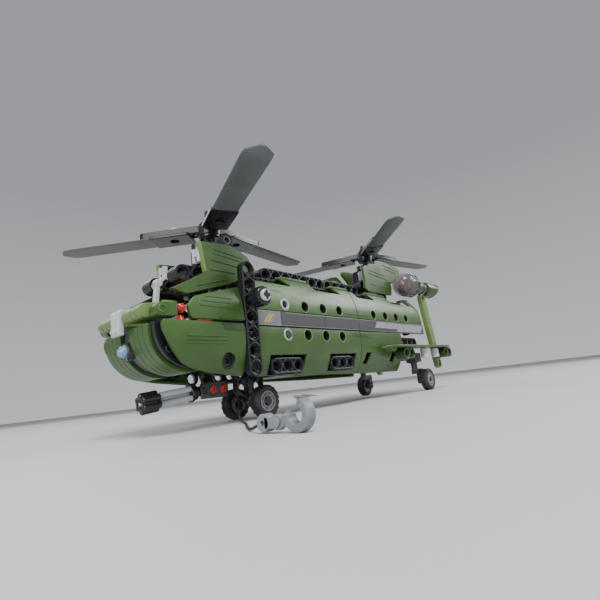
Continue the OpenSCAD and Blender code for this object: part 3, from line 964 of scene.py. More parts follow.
def pin_head(at: float, out: float = 0.6) -> Solid:
    """A slotted pin end along +Z whose collar sits in a counterbore at a height."""
    profile = [(1.5, at - 2), (2.4, at - 2), (2.4, at), (2.9, at), (2.9, at + out), (2.3, at + out + 0.25),
               (1.5, at + out + 0.25)]
    return Solid.lathe(profile, steps=28)


def bush(outer: float, start: float, end: float, axis: Axis, inner: float = 2.4) -> Solid:
    """A collar with a waist round it."""
    waist = (start + end) / 2
    soft = min(0.3, (end - start) / 5)
    profile = [(inner, start), (outer - soft, start), (outer, start + soft), (outer, waist - soft),
               (outer - 0.5, waist - soft / 2), (outer - 0.5, waist + soft / 2), (outer, waist + soft),
               (outer, end - soft), (outer - soft, end), (inner, end)]
    return Solid.lathe(profile, axis, 36)


@dataclass(frozen=True)
class Wall:
    """A curved side wall: an arc whose widest point is at a height in pitches."""

    widest: float
    thick: float = SKIN
    flat_steps: tuple[float, ...] = tuple(i * 1.5 for i in range(-17, 16))

    def along(self, height: float) -> float:
        """Arc length from the widest point at a height in pitches."""
        return SIDE_R * math.asin((height - self.widest) * PITCH / SIDE_R)

    def bend(self, point: Vector) -> Vector:
        """Where a point of the flat panel (x, outward, arc length) lands on the port wall."""
        angle = point.z / SIDE_R
        radius = SIDE_R - self.thick / 2 - point.y
        return Vector((point.x, HALF_W - SIDE_R + radius * math.cos(angle),
                       self.widest * PITCH + radius * math.sin(angle)))

    def panel(self, outline: Sequence[Point2], holes: Iterable[Sequence[Point2]] = (),
              corner: float = 1.0) -> Solid:
        """A port panel.

        Args:
            outline: its corners as (x, height) in pitches.
            holes: openings as (x, height) points in pitches.
            corner: how far its corners are rounded.

        Returns:
            The bent panel.
        """
        flat = rounded([(x * PITCH, self.along(z)) for x, z in outline], corner)
        cuts = [[(x * PITCH, self.along(z)) for x, z in hole] for hole in holes]
        plate = Solid.plate([flat, *cuts], self.thick, 0.3, Lie.XZ)
        return plate.sliced("Z", self.flat_steps).bent(self.bend)

    def line(self, start: float, end: float, height: float, proud: float = 0.3, wide: float = 0.7) -> Solid:
        """A raised line along the outside of the port wall, ends and height in pitches."""
        place = self.along(height)
        outside = -self.thick / 2
        bar = Solid.box((start * PITCH, outside - proud, place - wide / 2),
                        (end * PITCH, outside + 0.3, place + wide / 2), 0.2)
        return bar.bent(self.bend)

    def patch(self, outline: Sequence[Point2], proud: float = 0.12) -> Solid:
        """A thin flat mark on the outside of the port wall, corners in pitches."""
        flat = [(x * PITCH, self.along(z)) for x, z in outline]
        plate = Solid.plate([flat], 0.4, 0.05, Lie.XZ).moved(y=0.2 - proud - self.thick / 2)
        return plate.sliced("Z", self.flat_steps).bent(self.bend)

    def rim(self, x: float, height: float, inner: float, outer: float) -> Solid:
        """A raised ring round a porthole, its place in pitches and its radii in millimetres."""
        spot = (x * PITCH, self.along(height))
        ring = Solid.plate([circle(spot, outer, 28), circle(spot, inner, 28)], 0.5, 0.12, Lie.XZ)
        return ring.moved(y=0.05 - self.thick / 2).bent(self.bend)

    def rib(self, x: float, low: float, high: float, depth: float = 4.5) -> Solid:
        """A flange behind the wall at x, between two heights, all in pitches."""
        centre = (HALF_W - SIDE_R, self.widest * PITCH)
        angles = [math.degrees(math.asin((z - self.widest) * PITCH / SIDE_R)) for z in (low, high)]
        outline = arc(centre, SIDE_R - 0.5, angles[0], angles[1], 10) + arc(centre, SIDE_R - depth, angles[1],
                                                                            angles[0], 10)
        return Solid.plate([outline], 1.5, 0.2, Lie.YZ).moved(x=x * PITCH)


class Chassis:
    """The frame of beams under, beside and above the cabin."""

    def build(self) -> None:
        """Makes the beams."""
        piece(beam(5, (0, 0, BEAM_W / 2 / PITCH), Lie.XY), "stand_beam_holes", Tone.BLACK,
              stands_for=["stand_beam"])
        self.belly()
        floor = Solid().add(*(beam(11, (x, 2, 1), Lie.XZ) for x in (3, -8)))
        piece(both(floor), "floor_beams_holes", Tone.BLACK, stands_for=["floor_beams"])
        ties = Solid().add(*(beam(5, (x, 0, 2), Lie.YX) for x in (8, 4, -2, -5, -8.9)))
        piece(ties, "cross_beams_holes", Tone.BLACK, stands_for=["cross_beams"])
        posts = both(beam(7, (9, 3.32, 3.5), Lie.ZX, THIN_W))
        piece(posts, "frame_beams_holes", Tone.BLACK, stands_for=["frame_beams"])
        self.rear_frame()
        sills = Solid().add(*(beam(3, (x, 0, 0.55), Lie.XZ, THIN_W).moved(y=HALF_W - 2 - THIN_W / 2)
                              for x in (6, 0)))
        piece(both(sills), "sill_beams_holes", Tone.BLACK, stands_for=["sill_beams"])
        self.roof()

    def belly(self) -> None:
        """The flat belly with its slot."""
        outline = [(-75.2, -20.2), (46.4, -20.2), (46.4, 20.2), (-75.2, 20.2)]
        slot = [(-20.8, -4.2), (20.8, -4.2), (20.8, 4.2), (-20.8, 4.2)]
        plate = Solid.plate([rounded(outline, 2), slot], SKIN, 0.3).moved(z=SKIN / 2)
        piece(plate, "belly_sheet", Tone.DEEP_OLIVE, stands_for=["belly_plates"])

    def rear_frame(self) -> None:
        """The dark sub-frame and the caster sockets at the stern."""
        place = joint_at("port_caster_swivel")
        frame = both(beam(4, (-11.5, 2.5, 2.2), Lie.XZ).add(beam(3, (-12.5, 2.5, 4.5), Lie.ZX, THIN_W)))
        frame.add(beam(5, (-14, 0, 2.2), Lie.YX))
        outline = rounded([(place.x - 5, place.y - 4), (place.x + 5, place.y - 4),
                           (place.x + 5, place.y + 4.9), (place.x - 5, place.y + 4.9)], 1.5)
        bore = circle((place.x, place.y), HOLE_R + 0.01, 32)
        socket = Solid.plate([outline, bore], 7, 0.4).moved(z=5.3)
        collar = Solid.tube(HOLE_R + 0.01, 3.6, 1.4, 9.1).moved(place.x, place.y)
        frame.add(both(socket.add(collar)))
        piece(frame, "stern_frame", Tone.CHARCOAL, stands_for=["rear_frame_beams"])

    def roof(self) -> None:
        """Roof beams, the plates beside them and two light strips."""
        beams = beam(7, (3, 1.5, 7), Lie.XZ).add(beam(5, (-3, 1.5, 7), Lie.XZ))
        beams.add(*(beam(3, (x, 2.25, 6), Lie.XZ, THIN_W) for x in (6.6, 0.6, -4.3)))
        beams.add(beam(5, (-10.9, 1.9, 6), Lie.XZ, THIN_W))
        piece(both(beams), "roof_beams_holes", Tone.BLACK, stands_for=["roof_beams"])
        sheets = Solid()
        for x0, x1 in ((2.75, 5.5), (-2.5, -0.1), (-8.6, -5.25), (-13.3, -12.35)):
            start, end, low, high = x0 * PITCH, x1 * PITCH, 16.4, 23.0
            outline = [(start, low), (end, low), (end, high - 1.5), (end - 1.5, high), (start, high)]
            sheets.add(Solid.plate([rounded(outline, 0.8)], 1.4, 0.25).moved(z=6.5 * PITCH + 0.8))
            if end - start > 16:
                sheets.add(Solid.box((start + 3, 18.6, 53.9), (end - 3, 19.4, 54.3), 0.12))
        piece(both(sheets), "roof_sheets", Tone.OLIVE, stands_for=["roof_plates"])
        strip = Solid.box((2.9 * PITCH, 16.9, 53.3), (5.3 * PITCH, 18.2, 54.4), 0.3)
        piece(both(strip), "roof_strips", Tone.SILVER)


class Hull:
    """The curved skin, the printed side band and the portholes."""

    LOWER = Wall(2.4)
    UPPER = Wall(4.2)

    def build(self) -> None:
        """Makes the panels."""
        windows = [[(x - 1.58, 0.03), (x + 1.56, 0.03), (x + 1.56, 1.2), (x - 1.85, 1.2)] for x in (0, 6)]
        lower_front = self.sheet(self.LOWER, [(-2.48, -0.35), (8.48, 0), (8.48, 2.98), (-2.48, 2.98)],
                                 (6, 4, 2, 0), 2.5,
                                 ((-2.38, 2.94), (8.38, 2.94)), windows)
        piece(both(lower_front), "lower_skin_front", Tone.OLIVE, stands_for=["lower_panels_front"])
        slots = [[(x + dx, z + 0.35) for dx, z in ((0.6, 0), (-0.15, 0), (-0.55, 0.9), (0.2, 0.9))]
                 for x in (-3.5, -7.75)]
        lower_rear = self.LOWER.panel([(-9.4, -0.447), (-2.52, -0.35), (-2.52, 2.98), (-9.4, 2.98)], slots)
        for x in (-9.3, -2.62):
            lower_rear.add(self.LOWER.rib(x, 0.22, 2.9))
        piece(both(lower_rear), "lower_skin_rear", Tone.OLIVE, stands_for=["lower_panels_rear"])
        outline = [(-2.48, 4.02), (8.48, 4.02), (8.48, 5.98), (4.8, 5.98), (5.6, 6.5), (2.62, 6.5),
                   (2.2, 5.98),
                   (-1, 5.98), (-0.2, 6.5), (-2.48, 6.5)]
        upper_front = self.sheet(self.UPPER, outline, (6, 4, 2, 0), 4.5, ((-2.38, 6.46), (8.38, 5.94)))
        upper_front.add(self.UPPER.line(-2.42, -0.8, 4.36))
        piece(both(upper_front), "upper_skin_front", Tone.OLIVE, stands_for=["upper_panels_front"])
        outline = [(-14.4, 4.02), (-2.52, 4.02), (-2.52, 6.5), (-2.98, 6.5), (-3.4, 5.98), (-6.15, 5.98),
                   (-5.35, 6.5),
                   (-8.73, 6.5), (-9.15, 5.98), (-13.2, 5.98), (-12.4, 6.5), (-13.5, 6.5), (-14.4, 5.6)]
        upper_rear = self.sheet(self.UPPER, outline, (-5, -7, -9, -11), 4.5, ((-14.3, 5.56), (-2.62, 6.46)))
        upper_rear.add(self.UPPER.line(-3.9, -2.58, 4.36), self.UPPER.line(-14.3, -13.5, 4.3))
        piece(both(upper_rear), "upper_skin_rear", Tone.OLIVE, stands_for=["upper_panels_rear"])
        self.band()
        self.ports()

    def sheet(self, wall: Wall, outline: Sequence[Point2], ports: Sequence[float], height: float,
              ends: Iterable[tuple[float, float]], windows: Iterable[Sequence[Point2]] = ()) -> Solid:
        """A panel with portholes and end flanges.

        Args:
            wall: the wall it is cut from.
            outline: its corners in pitches.
            ports: places of its portholes along the hull.
            height: their height.
            ends: place and top of each end flange.
            windows: outlines of its other openings.

        Returns:
            The port panel.
        """
        radius = 3.12 / PITCH
        holes = [[(x + radius * math.cos(t), height + radius * math.sin(t)) for t in
                  (2 * math.pi * i / 28 for i in range(28))] for x in ports]
        made = wall.panel(outline, [*holes, *windows])
        for x, top in ends:
            made.add(wall.rib(x, max(outline[0][1], 0.3), top))
        return made

    def band(self) -> None:
        """The printed tiles of the side band."""
        spans = ((6.52, 8.48), (2.02, 6.48), (-2.48, 1.98), (-4.98, -2.52), (-9.98, -5.02), (-14.4, -10.02))
        tiles = Solid().add(*(Solid.box((a * PITCH, HALF_W - 2, 3.02 * PITCH),
                                        (b * PITCH, HALF_W + 0.2, 3.98 * PITCH), 0.25)
                              for a, b in spans))
        piece(both(tiles), "side_band_tiles", Tone.BAND, stands_for=["stripe_tiles"])

    def ports(self) -> None:
        """Dark liners in the portholes as painted shade, pale rims round them as a painted highlight and
        light bushes in the first of each row.
        """
        # Black liners inside the portholes darken the holes: painted shade.
        shade_liner = Solid.lathe([(HOLE_R, 22.0), (3.7, 22.0), (3.7, 26.2), (3.08, 26.2), (3.08, 27.7),
                             (HOLE_R, 27.7)], Axis.Y, 28)
        bush_ring = Solid.lathe([(2.35, 26.6), (2.42, 26.6), (2.42, 27.5), (2.98, 27.5), (2.98, 28.1),
                                 (2.7, 28.3), (2.35, 28.3)],
                                Axis.Y, 28)
        shade_liners, rims, rings = Solid(), Solid(), Solid()
        for wall, height, places in ((self.LOWER, 2.5, (6, 4, 2, 0)),
                                     (self.UPPER, 4.5, (6, 4, 2, 0, -5, -7, -9, -11))):
            for x in places:
                shade_liners.add(shade_liner.copy().moved(x * PITCH, 0, height * PITCH))
                rims.add(wall.rim(x, height, 3.12, 3.62))
            rings.add(bush_ring.copy().moved(6 * PITCH, 0, height * PITCH))
        shade_liners.add(Solid.rod(2.4, 22.5, 26.9, Axis.Y).moved(6 * PITCH, 0, 4.5 * PITCH))
        piece(both(shade_liners), "porthole_liners", Tone.BLACK)
        # The light olive rims round the portholes are a painted highlight.
        piece(both(rims), "porthole_rims", Tone.LIGHT_OLIVE)
        piece(both(rings), "porthole_bushes", Tone.SILVER)
        # Deep olive patches on the wall stand for the shade in the seam recesses: painted shade on a flat
        # mark, with no cut.
        recess_shade_patches = self.LOWER.patch([(-1.25, 2.82), (-1.27, 2.52), (-2.44, 2.47), (-2.44, 2.81)])
        recess_shade_patches.add(self.LOWER.patch([(-2.56, 2.81), (-2.56, 2.46), (-4.05, 2.41), (-3.33, 2.78)]))
        piece(both(recess_shade_patches), "seam_recesses", Tone.DEEP_OLIVE)


class Nose:
    """Chin and brow slices, dark frames, bars, lamp and side rails."""

    CENTRE = (12.7 * PITCH, 2.8 * PITCH)

    def build(self) -> None:
        """Makes the nose."""
        self.slices()
        outline = arc(self.CENTRE, 2.15 * PITCH, -100, 8, 20) + arc(self.CENTRE, 1.3 * PITCH, 8, -100, 16)
        frame = Solid.plate([rounded(outline, 0.4, 1)], 3, 0.35, Lie.XZ).moved(y=2.54 * PITCH + 1.5)
        stud = Solid.rod(1.7, 0, 1.0, Axis.Y).moved(14.1 * PITCH, 2.54 * PITCH + 2.6, 1.7 * PITCH)
        piece(both(frame.add(stud)), "nose_side_frames", Tone.BLACK, stands_for=["nose_frames"])
        self.bars()
        self.lamp()
        self.rails()

    def slices(self) -> None:
        """Four chin and four brow slices a side, each with softened edges."""
        sector = arc(self.CENTRE, 2.3 * PITCH, -104, 6, 26) + arc(self.CENTRE, 1.5 * PITCH, 6, -104, 18)
        one = Solid.plate([sector], THIN_W - 0.08, 0.26, Lie.XZ)
        chin = Solid().add(*(one.copy().moved(y=(0.51 + i / 2) * PITCH + THIN_W / 2) for i in range(4)))
        piece(both(chin), "chin_slices_curved", Tone.OLIVE, stands_for=["chin_slices"])
        tip = arc((15.05 * PITCH, 3.7 * PITCH), 0.36 * PITCH, -90, 90, 12)
        tip = [*ringed([(13.4, 3.5)]), *tip, *ringed([(13.4, 4.3)])]
        brow_one = Solid.plate([tip], THIN_W - 0.16, 0.38, Lie.XZ)
        brow = Solid().add(*(brow_one.copy().moved(y=(0.51 + i / 2) * PITCH + THIN_W / 2) for i in range(4)))
        piece(both(brow), "brow_slices_rounded", Tone.LIGHT_OLIVE, stands_for=["brow_slices"])

    def bars(self) -> None:
        """Two light bars over the middle of the nose, with hooked tops."""
        x, z = 15.2 * PITCH, 2.75 * PITCH
        outline = [(x, z), (x + 2.6, z), (x + 2.6, z + 10.2), (x + 1.4, z + 11.2), (x, z + 11.2)]
        bar = Solid.plate([rounded(outline, 0.8)], 3.4, 0.35, Lie.XZ).moved(y=2.0)
        bar.add(Solid.rod(1.0, 0.5, 3.5, Axis.Y).moved(x + 2.1, 0, z + 2.2))
        piece(both(bar), "nose_bars_light", Tone.SILVER, stands_for=["nose_bars"])

    def lamp(self) -> None:
        """The lamp: holder, bezel, lens with a step and a small lever."""
        outline = arc(self.CENTRE, 2.15 * PITCH, -104, 8, 24) + arc(self.CENTRE, 1.5 * PITCH, 8, -104, 18)
        low = Solid.plate([outline], BEAM_W, 0.35, Lie.XZ)
        piece(low, "lamp_holder_curved", Tone.BLACK, stands_for=["lamp_holder"])
        z = 1.95 * PITCH
        bezel = Solid.tube(2.85, 3.7, 14.55 * PITCH, 15.02 * PITCH, Axis.X).moved(z=z)
        lever = Solid.rod(0.6, 0, 4.2).spun(28, "X").moved(15.0 * PITCH, 2.6, z - 4.6)
        piece(bezel.add(lever), "lamp_bezel", Tone.CHARCOAL)
        start = 14.6 * PITCH
        lens = [(0, start), (2.75, start), (2.8, 15.05 * PITCH), (2.3, 15.05 * PITCH + 1.4),
                (1.6, 15.05 * PITCH + 2.1),
                (1.3, 15.05 * PITCH + 1.7), (0.6, 15.05 * PITCH + 2.5), (0, 15.05 * PITCH + 2.7)]
        piece(Solid.lathe(lens, Axis.X, 28).moved(z=z), "lamp_glass", Tone.LENS, stands_for=["lamp_lens"])

    def rails(self) -> None:
        """Side rails with a light top strip, and the red marker lamps behind them."""
        tip = arc((14.6 * PITCH, 3.62 * PITCH), 0.36 * PITCH, -90, 90, 14)
        outline = [*ringed([(13.78, 3.3)]), *tip, *ringed([(13.78, 4.06)])]
        rail = Solid.plate([outline], 6.0, 0.45, Lie.XZ).moved(y=2.975 * PITCH)
        rail.add(Solid.tube(1.2, 2.0, 2.56 * PITCH, 3.39 * PITCH, Axis.Y).moved(14.6 * PITCH, 0,
                                                                                3.62 * PITCH))
        piece(both(rail), "side_rails_rounded", Tone.OLIVE, stands_for=["side_rails"])
        strip = Solid.box((13.85 * PITCH, 3.05 * PITCH, 4.0 * PITCH),
                          (14.5 * PITCH, 3.25 * PITCH, 4.09 * PITCH), 0.15)
        piece(both(strip), "side_rail_strips", Tone.LIGHT_OLIVE)
        profile = [(0, 21.4), (2.0, 21.4), (2.0, 26.2), (1.75, 26.9), (1.2, 27.3), (1.0, 27.1), (0.4, 27.6),
                   (0, 27.6)]
        lamp = Solid.lathe(profile, Axis.Y, 28).moved(13.5 * PITCH, 0, 3.75 * PITCH)
        piece(both(lamp), "marker_lenses", Tone.MARKER, stands_for=["marker_lamps"])
        cup = Solid.tube(2.05, 2.6, 21.4, 23.6, Axis.Y).moved(13.5 * PITCH, 0, 3.75 * PITCH)
        piece(both(cup), "marker_cups", Tone.BLACK)


class Cockpit:
    """Cockpit side panels, seats, console and windscreen pillar."""

    LOWER = Wall(2.4, 2.0)
    UPPER = Wall(3.4, 2.0)

    def build(self) -> None:
        """Makes the cockpit."""
        hole = [(10.7 + 3.6 / PITCH * math.cos(t), 0.95 + 3.6 / PITCH * math.sin(t))
                for t in (2 * math.pi * i / 28 for i in range(28))]
        outline = [(9.52, 0.05), (11.8, 0.35), (13.0, 0.62), (13.6, 0.9), (14.2, 1.6), (14.7, 2.6),
                   (14.7, 3.1),
                   (9.52, 3.1)]
        lower = self.LOWER.panel(outline, [hole], 1.6)
        for height in (2.28, 2.08, 1.9):
            lower.add(self.LOWER.line(10.9, 13.4, height, 0.22, 0.6))
        piece(both(lower), "cockpit_cheeks", Tone.OLIVE, stands_for=["cockpit_lower_panels"])
        ring = Solid.tube(2.5, 3.5, 19.0, 25.2, Axis.Y).moved(10.7 * PITCH, 0, 0.95 * PITCH)
        pin = Solid.tube(1.3, 2.45, 20.0, 24.6, Axis.Y).moved(10.7 * PITCH, 0, 0.95 * PITCH)
        piece(both(ring.add(pin)), "cheek_pins", Tone.BLACK)
        top = [(9.52, 3.2), (13.1, 3.2), (13.25, 3.9), (12.8, 4.45), (9.52, 5.4)]
        upper = self.UPPER.panel(top, (), 1.4)
        for k, height in enumerate((4.5, 4.22, 3.94)):
            upper.add(self.UPPER.line(10.3 + 0.1 * k, 12.1 + 0.2 * k, height, 0.22, 0.6))
        upper.add(self.UPPER.line(9.6, 11.3, 3.3, 0.9, 0.8))
        piece(both(upper), "cockpit_shoulders", Tone.OLIVE, stands_for=["cockpit_upper_panels"])
        # A deep olive patch under the band stands for the shade of a step: painted shade on a flat mark.
        step = self.LOWER.patch([(9.6, 3.04), (9.6, 2.62), (11.0, 2.62), (11.15, 3.04)])
        piece(both(step), "cheek_steps", Tone.DEEP_OLIVE)
        self.seats()
        self.console()
        self.pillar()

    def seats(self) -> None:
        """Two moulded seats with backs and head rests."""
        x, y, z = 11 * PITCH, 0.7 * PITCH, 2.6 * PITCH
        seat = Solid.box((x, y, z), (x + 10, y + 11, z + 3), 0.8)
        back = Solid.plate([rounded([(y, z), (y + 11, z), (y + 10, z + 11), (y + 8, z + 15), (y + 3, z + 15),
                                     (y + 1, z + 11)], 1.5)],
                           2.5, 0.6, Lie.YZ).moved(x=x - 1.3)
        piece(both(seat.add(back)), "pilot_seats_moulded", Tone.RED, stands_for=["pilot_seats"])

    def console(self) -> None:
        """The instrument panel with two small dials and a clear blue stud."""
        x, z = 13 * PITCH, 2.7 * PITCH
        outline = [(x - 5, z), (x + 2, z), (x + 2, z + 4), (x - 1, z + 5.6), (x - 5, z + 3)]
        desk = Solid.plate([rounded(outline, 0.6)], 3.8 * PITCH, 0.5, Lie.XZ)
        piece(desk, "console_desk", Tone.CHARCOAL, stands_for=["instrument_console"])
        dials = both(Solid.rod(1.7, 0, 1.1, Axis.Z).spun(-45, "Y").moved(x - 2.8, 4.5, z + 3.9))
        dials.add(both(Solid.rod(1.1, 0, 1.0, Axis.Z).spun(-45, "Y").moved(x - 2.8, 9.5, z + 3.9)))
        piece(dials, "console_dials", Tone.SILVER)
        stud = both(Solid.rod(2.0, 0, 3.6, Axis.Z).moved(x + 0.4, 11.0, z + 4.6))
        piece(stud, "console_studs", Tone.LENS)

    def pillar(self) -> None:
        """The bent windscreen pillar with a round elbow."""
        outline = ringed([(13.05, 4.45), (13.35, 4.4), (13.15, 6.05), (12.5, 6.6), (12.35, 6.4),
                          (12.9, 5.95)])
        bar = Solid.plate([rounded(outline, 0.6)], 2.6, 0.35, Lie.XZ)
        elbow = Solid.rod(1.9, -1.5, 1.5, Axis.Y).moved(13.0 * PITCH, 0, 6.0 * PITCH)
        foot = Solid.rod(1.6, -1.5, 1.5, Axis.Y).moved(13.2 * PITCH, 0, 4.5 * PITCH)
        piece(bar.add(elbow, foot), "windscreen_bar", Tone.SILVER, stands_for=["windscreen_pillar"])

# ---------------------------------------------------------------- towers, pods and tail


class Towers:
    """The two rotor towers: bearing beams and the fairings outside them."""

    def build(self) -> None:
        """Makes the towers."""
        front = beam(3, (9, 0, 8.75), Lie.XY, THIN_W)
        front.add(both(beam(4, (9, 1.5, 7.5), Lie.ZX, THIN_W).add(beam(4, (11, 1.5, 6.2), Lie.XZ))))
        piece(front, "front_tower_beams", Tone.BLACK, stands_for=["front_gearbox"])
        rear = Solid().add(*(beam(3, (-11, 0, z), Lie.XY, THIN_W) for z in (8.75, 10.5)))
        rear.add(both(beam(5, (-11, 1.3, 8.2), Lie.ZX, THIN_W).add(beam(3, (-7.5, 1.5, 7.6), Lie.XZ))))
        piece(rear, "rear_tower_beams", Tone.BLACK, stands_for=["rear_gearbox"])
        self.front_fairing()
        self.rear_fairing()
        self.fittings()

    @staticmethod
    def fairing(outline: Sequence[Point2], inner: float,
                lines: Sequence[tuple[float, float, float, float]]) -> Solid:
        """A flat side fairing with raised lines.

        Args:
            outline: its corners as (x, height) in pitches.
            inner: where its inner face is, in millimetres from the middle.
            lines: ends of each raised line as (x, height, x, height) in pitches.

        Returns:
            The port fairing.
        """
        made = Solid.plate([rounded(ringed(outline), 1.0)], 2.0, 0.35, Lie.XZ).moved(y=inner + 1)
        for x0, z0, x1, z1 in lines:
            start, end = Vector((x0, 0, z0)) * PITCH, Vector((x1, 0, z1)) * PITCH
            run = end - start
            bar = Solid.box((0, 0, -0.3), (run.length, 0.75, 0.3), 0.2)
            bar.turned(Matrix.Rotation(-math.atan2(run.z, run.x), 4, "Y"))
            made.add(bar.moved(start.x, inner + 1.6, start.z))
        return made

    def front_fairing(self) -> None:
        """Fairings of the front tower, with a light front edge."""
        outline = [(11.7, 8.1), (11.4, 6.2), (13.6, 5), (12.7, 4.75), (9.6, 5.7), (8.6, 6.15), (8.6, 6.6),
                   (7.3, 6.75),
                   (8.1, 7.8), (9.5, 8.3)]
        lines = [(8.5, 7.55, 10.6, 7.75), (8.4, 7.3, 10.7, 7.5), (8.9, 6.9, 10.9, 7.05),
                 (9.2, 6.45, 11.0, 6.45),
                 (9.9, 5.95, 12.0, 5.35)]
        piece(both(self.fairing(outline, 2.28 * PITCH, lines)), "front_fairings", Tone.OLIVE,
              stands_for=["front_pylon_panels"])
        edge = Solid.plate([ringed([(11.72, 8.08), (11.42, 6.22), (11.3, 6.26), (11.56, 8.06)])], 2.3, 0.2,
                           Lie.XZ)
        piece(both(edge.moved(y=2.28 * PITCH + 1.1)), "front_fairing_edges", Tone.LIGHT_OLIVE)

    def rear_fairing(self) -> None:
        """Fairings of the rear tower, in two overlapping parts a side."""
        low = [(-6.1, 9.35), (-6.2, 8.2), (-6, 7.3), (-6.5, 7), (-10.8, 7.05), (-11.1, 8), (-10.2, 9.15),
               (-8.6, 10.05),
               (-7.6, 9.85)]
        high = [(-9.2, 10.6), (-9, 10.3), (-10.6, 9), (-11.6, 8.4), (-12.6, 8.8), (-14.2, 9.9), (-14.2, 10.3),
                (-13.3, 10.6), (-10.8, 10.75)]
        first = self.fairing(low, 2.28 * PITCH,
                             [(-9.8, 8.95, -7.1, 9.2), (-10.1, 8.65, -7.1, 8.85), (-10.3, 7.75, -7.0, 7.8)])
        second = self.fairing(high, 1.9 * PITCH, [(-13.4, 10.1, -10.6, 10.35), (-13.1, 9.8, -10.9, 10.0)])
        piece(both(first.add(second)), "rear_fairings", Tone.OLIVE, stands_for=["rear_pylon_panels"])

    def fittings(self) -> None:
        """Blocks with axle holes at the tower fronts, and the pins that hold the beams together."""
        plus = [(a * c - b * s, a * s + b * c) for c, s in ((1, 0), (0, 1), (-1, 0), (0, -1))
                for a, b in ((2.4, -0.95), (2.4, 0.95), (0.95, 0.95))]
        square = rounded([(-3.9, -3.9), (3.9, -3.9), (3.9, 3.9), (-3.9, 3.9)], 1.0)
        block = Solid.plate([square, plus], 5.4, 0.3, Lie.XZ)
        upright = [(-2.8, -3.6), (-0.9, -3.6), (-0.9, -0.7), (0.9, -0.7), (0.9, -3.6), (2.8, -3.6)]
        shape = upright + [(-x, -z) for x, z in upright]
        face = Solid.plate([shape], 2.4, 0.3, Lie.YZ).moved(11.5 * PITCH, 1.98 * PITCH, 7.35 * PITCH)
        piece(both(face), "front_tower_blocks", Tone.SILVER)
        core = Solid.box((10.8 * PITCH, 1.63 * PITCH, 6.9 * PITCH),
                         (11.35 * PITCH, 2.27 * PITCH, 7.8 * PITCH))
        piece(both(core), "front_block_cores", Tone.BLACK)
        stern = both(block.copy().moved(-7.1 * PITCH, 15.0, 8.7 * PITCH))
        piece(stern, "rear_tower_blocks", Tone.STONE)
        head = pin_head(1.95).turned(Matrix.Rotation(math.radians(-90), 4, "X"))
        heads = Solid()
        for x, y, z in ((9, 12.0, 9), (9, 12.0, 8), (-11, 10.4, 9.2), (-11, 10.4, 8.2), (-11, 10.4, 10.2)):
            heads.add(head.copy().moved(x * PITCH, y - 0.8, z * PITCH))
        piece(both(heads), "tower_pins", Tone.CHARCOAL)


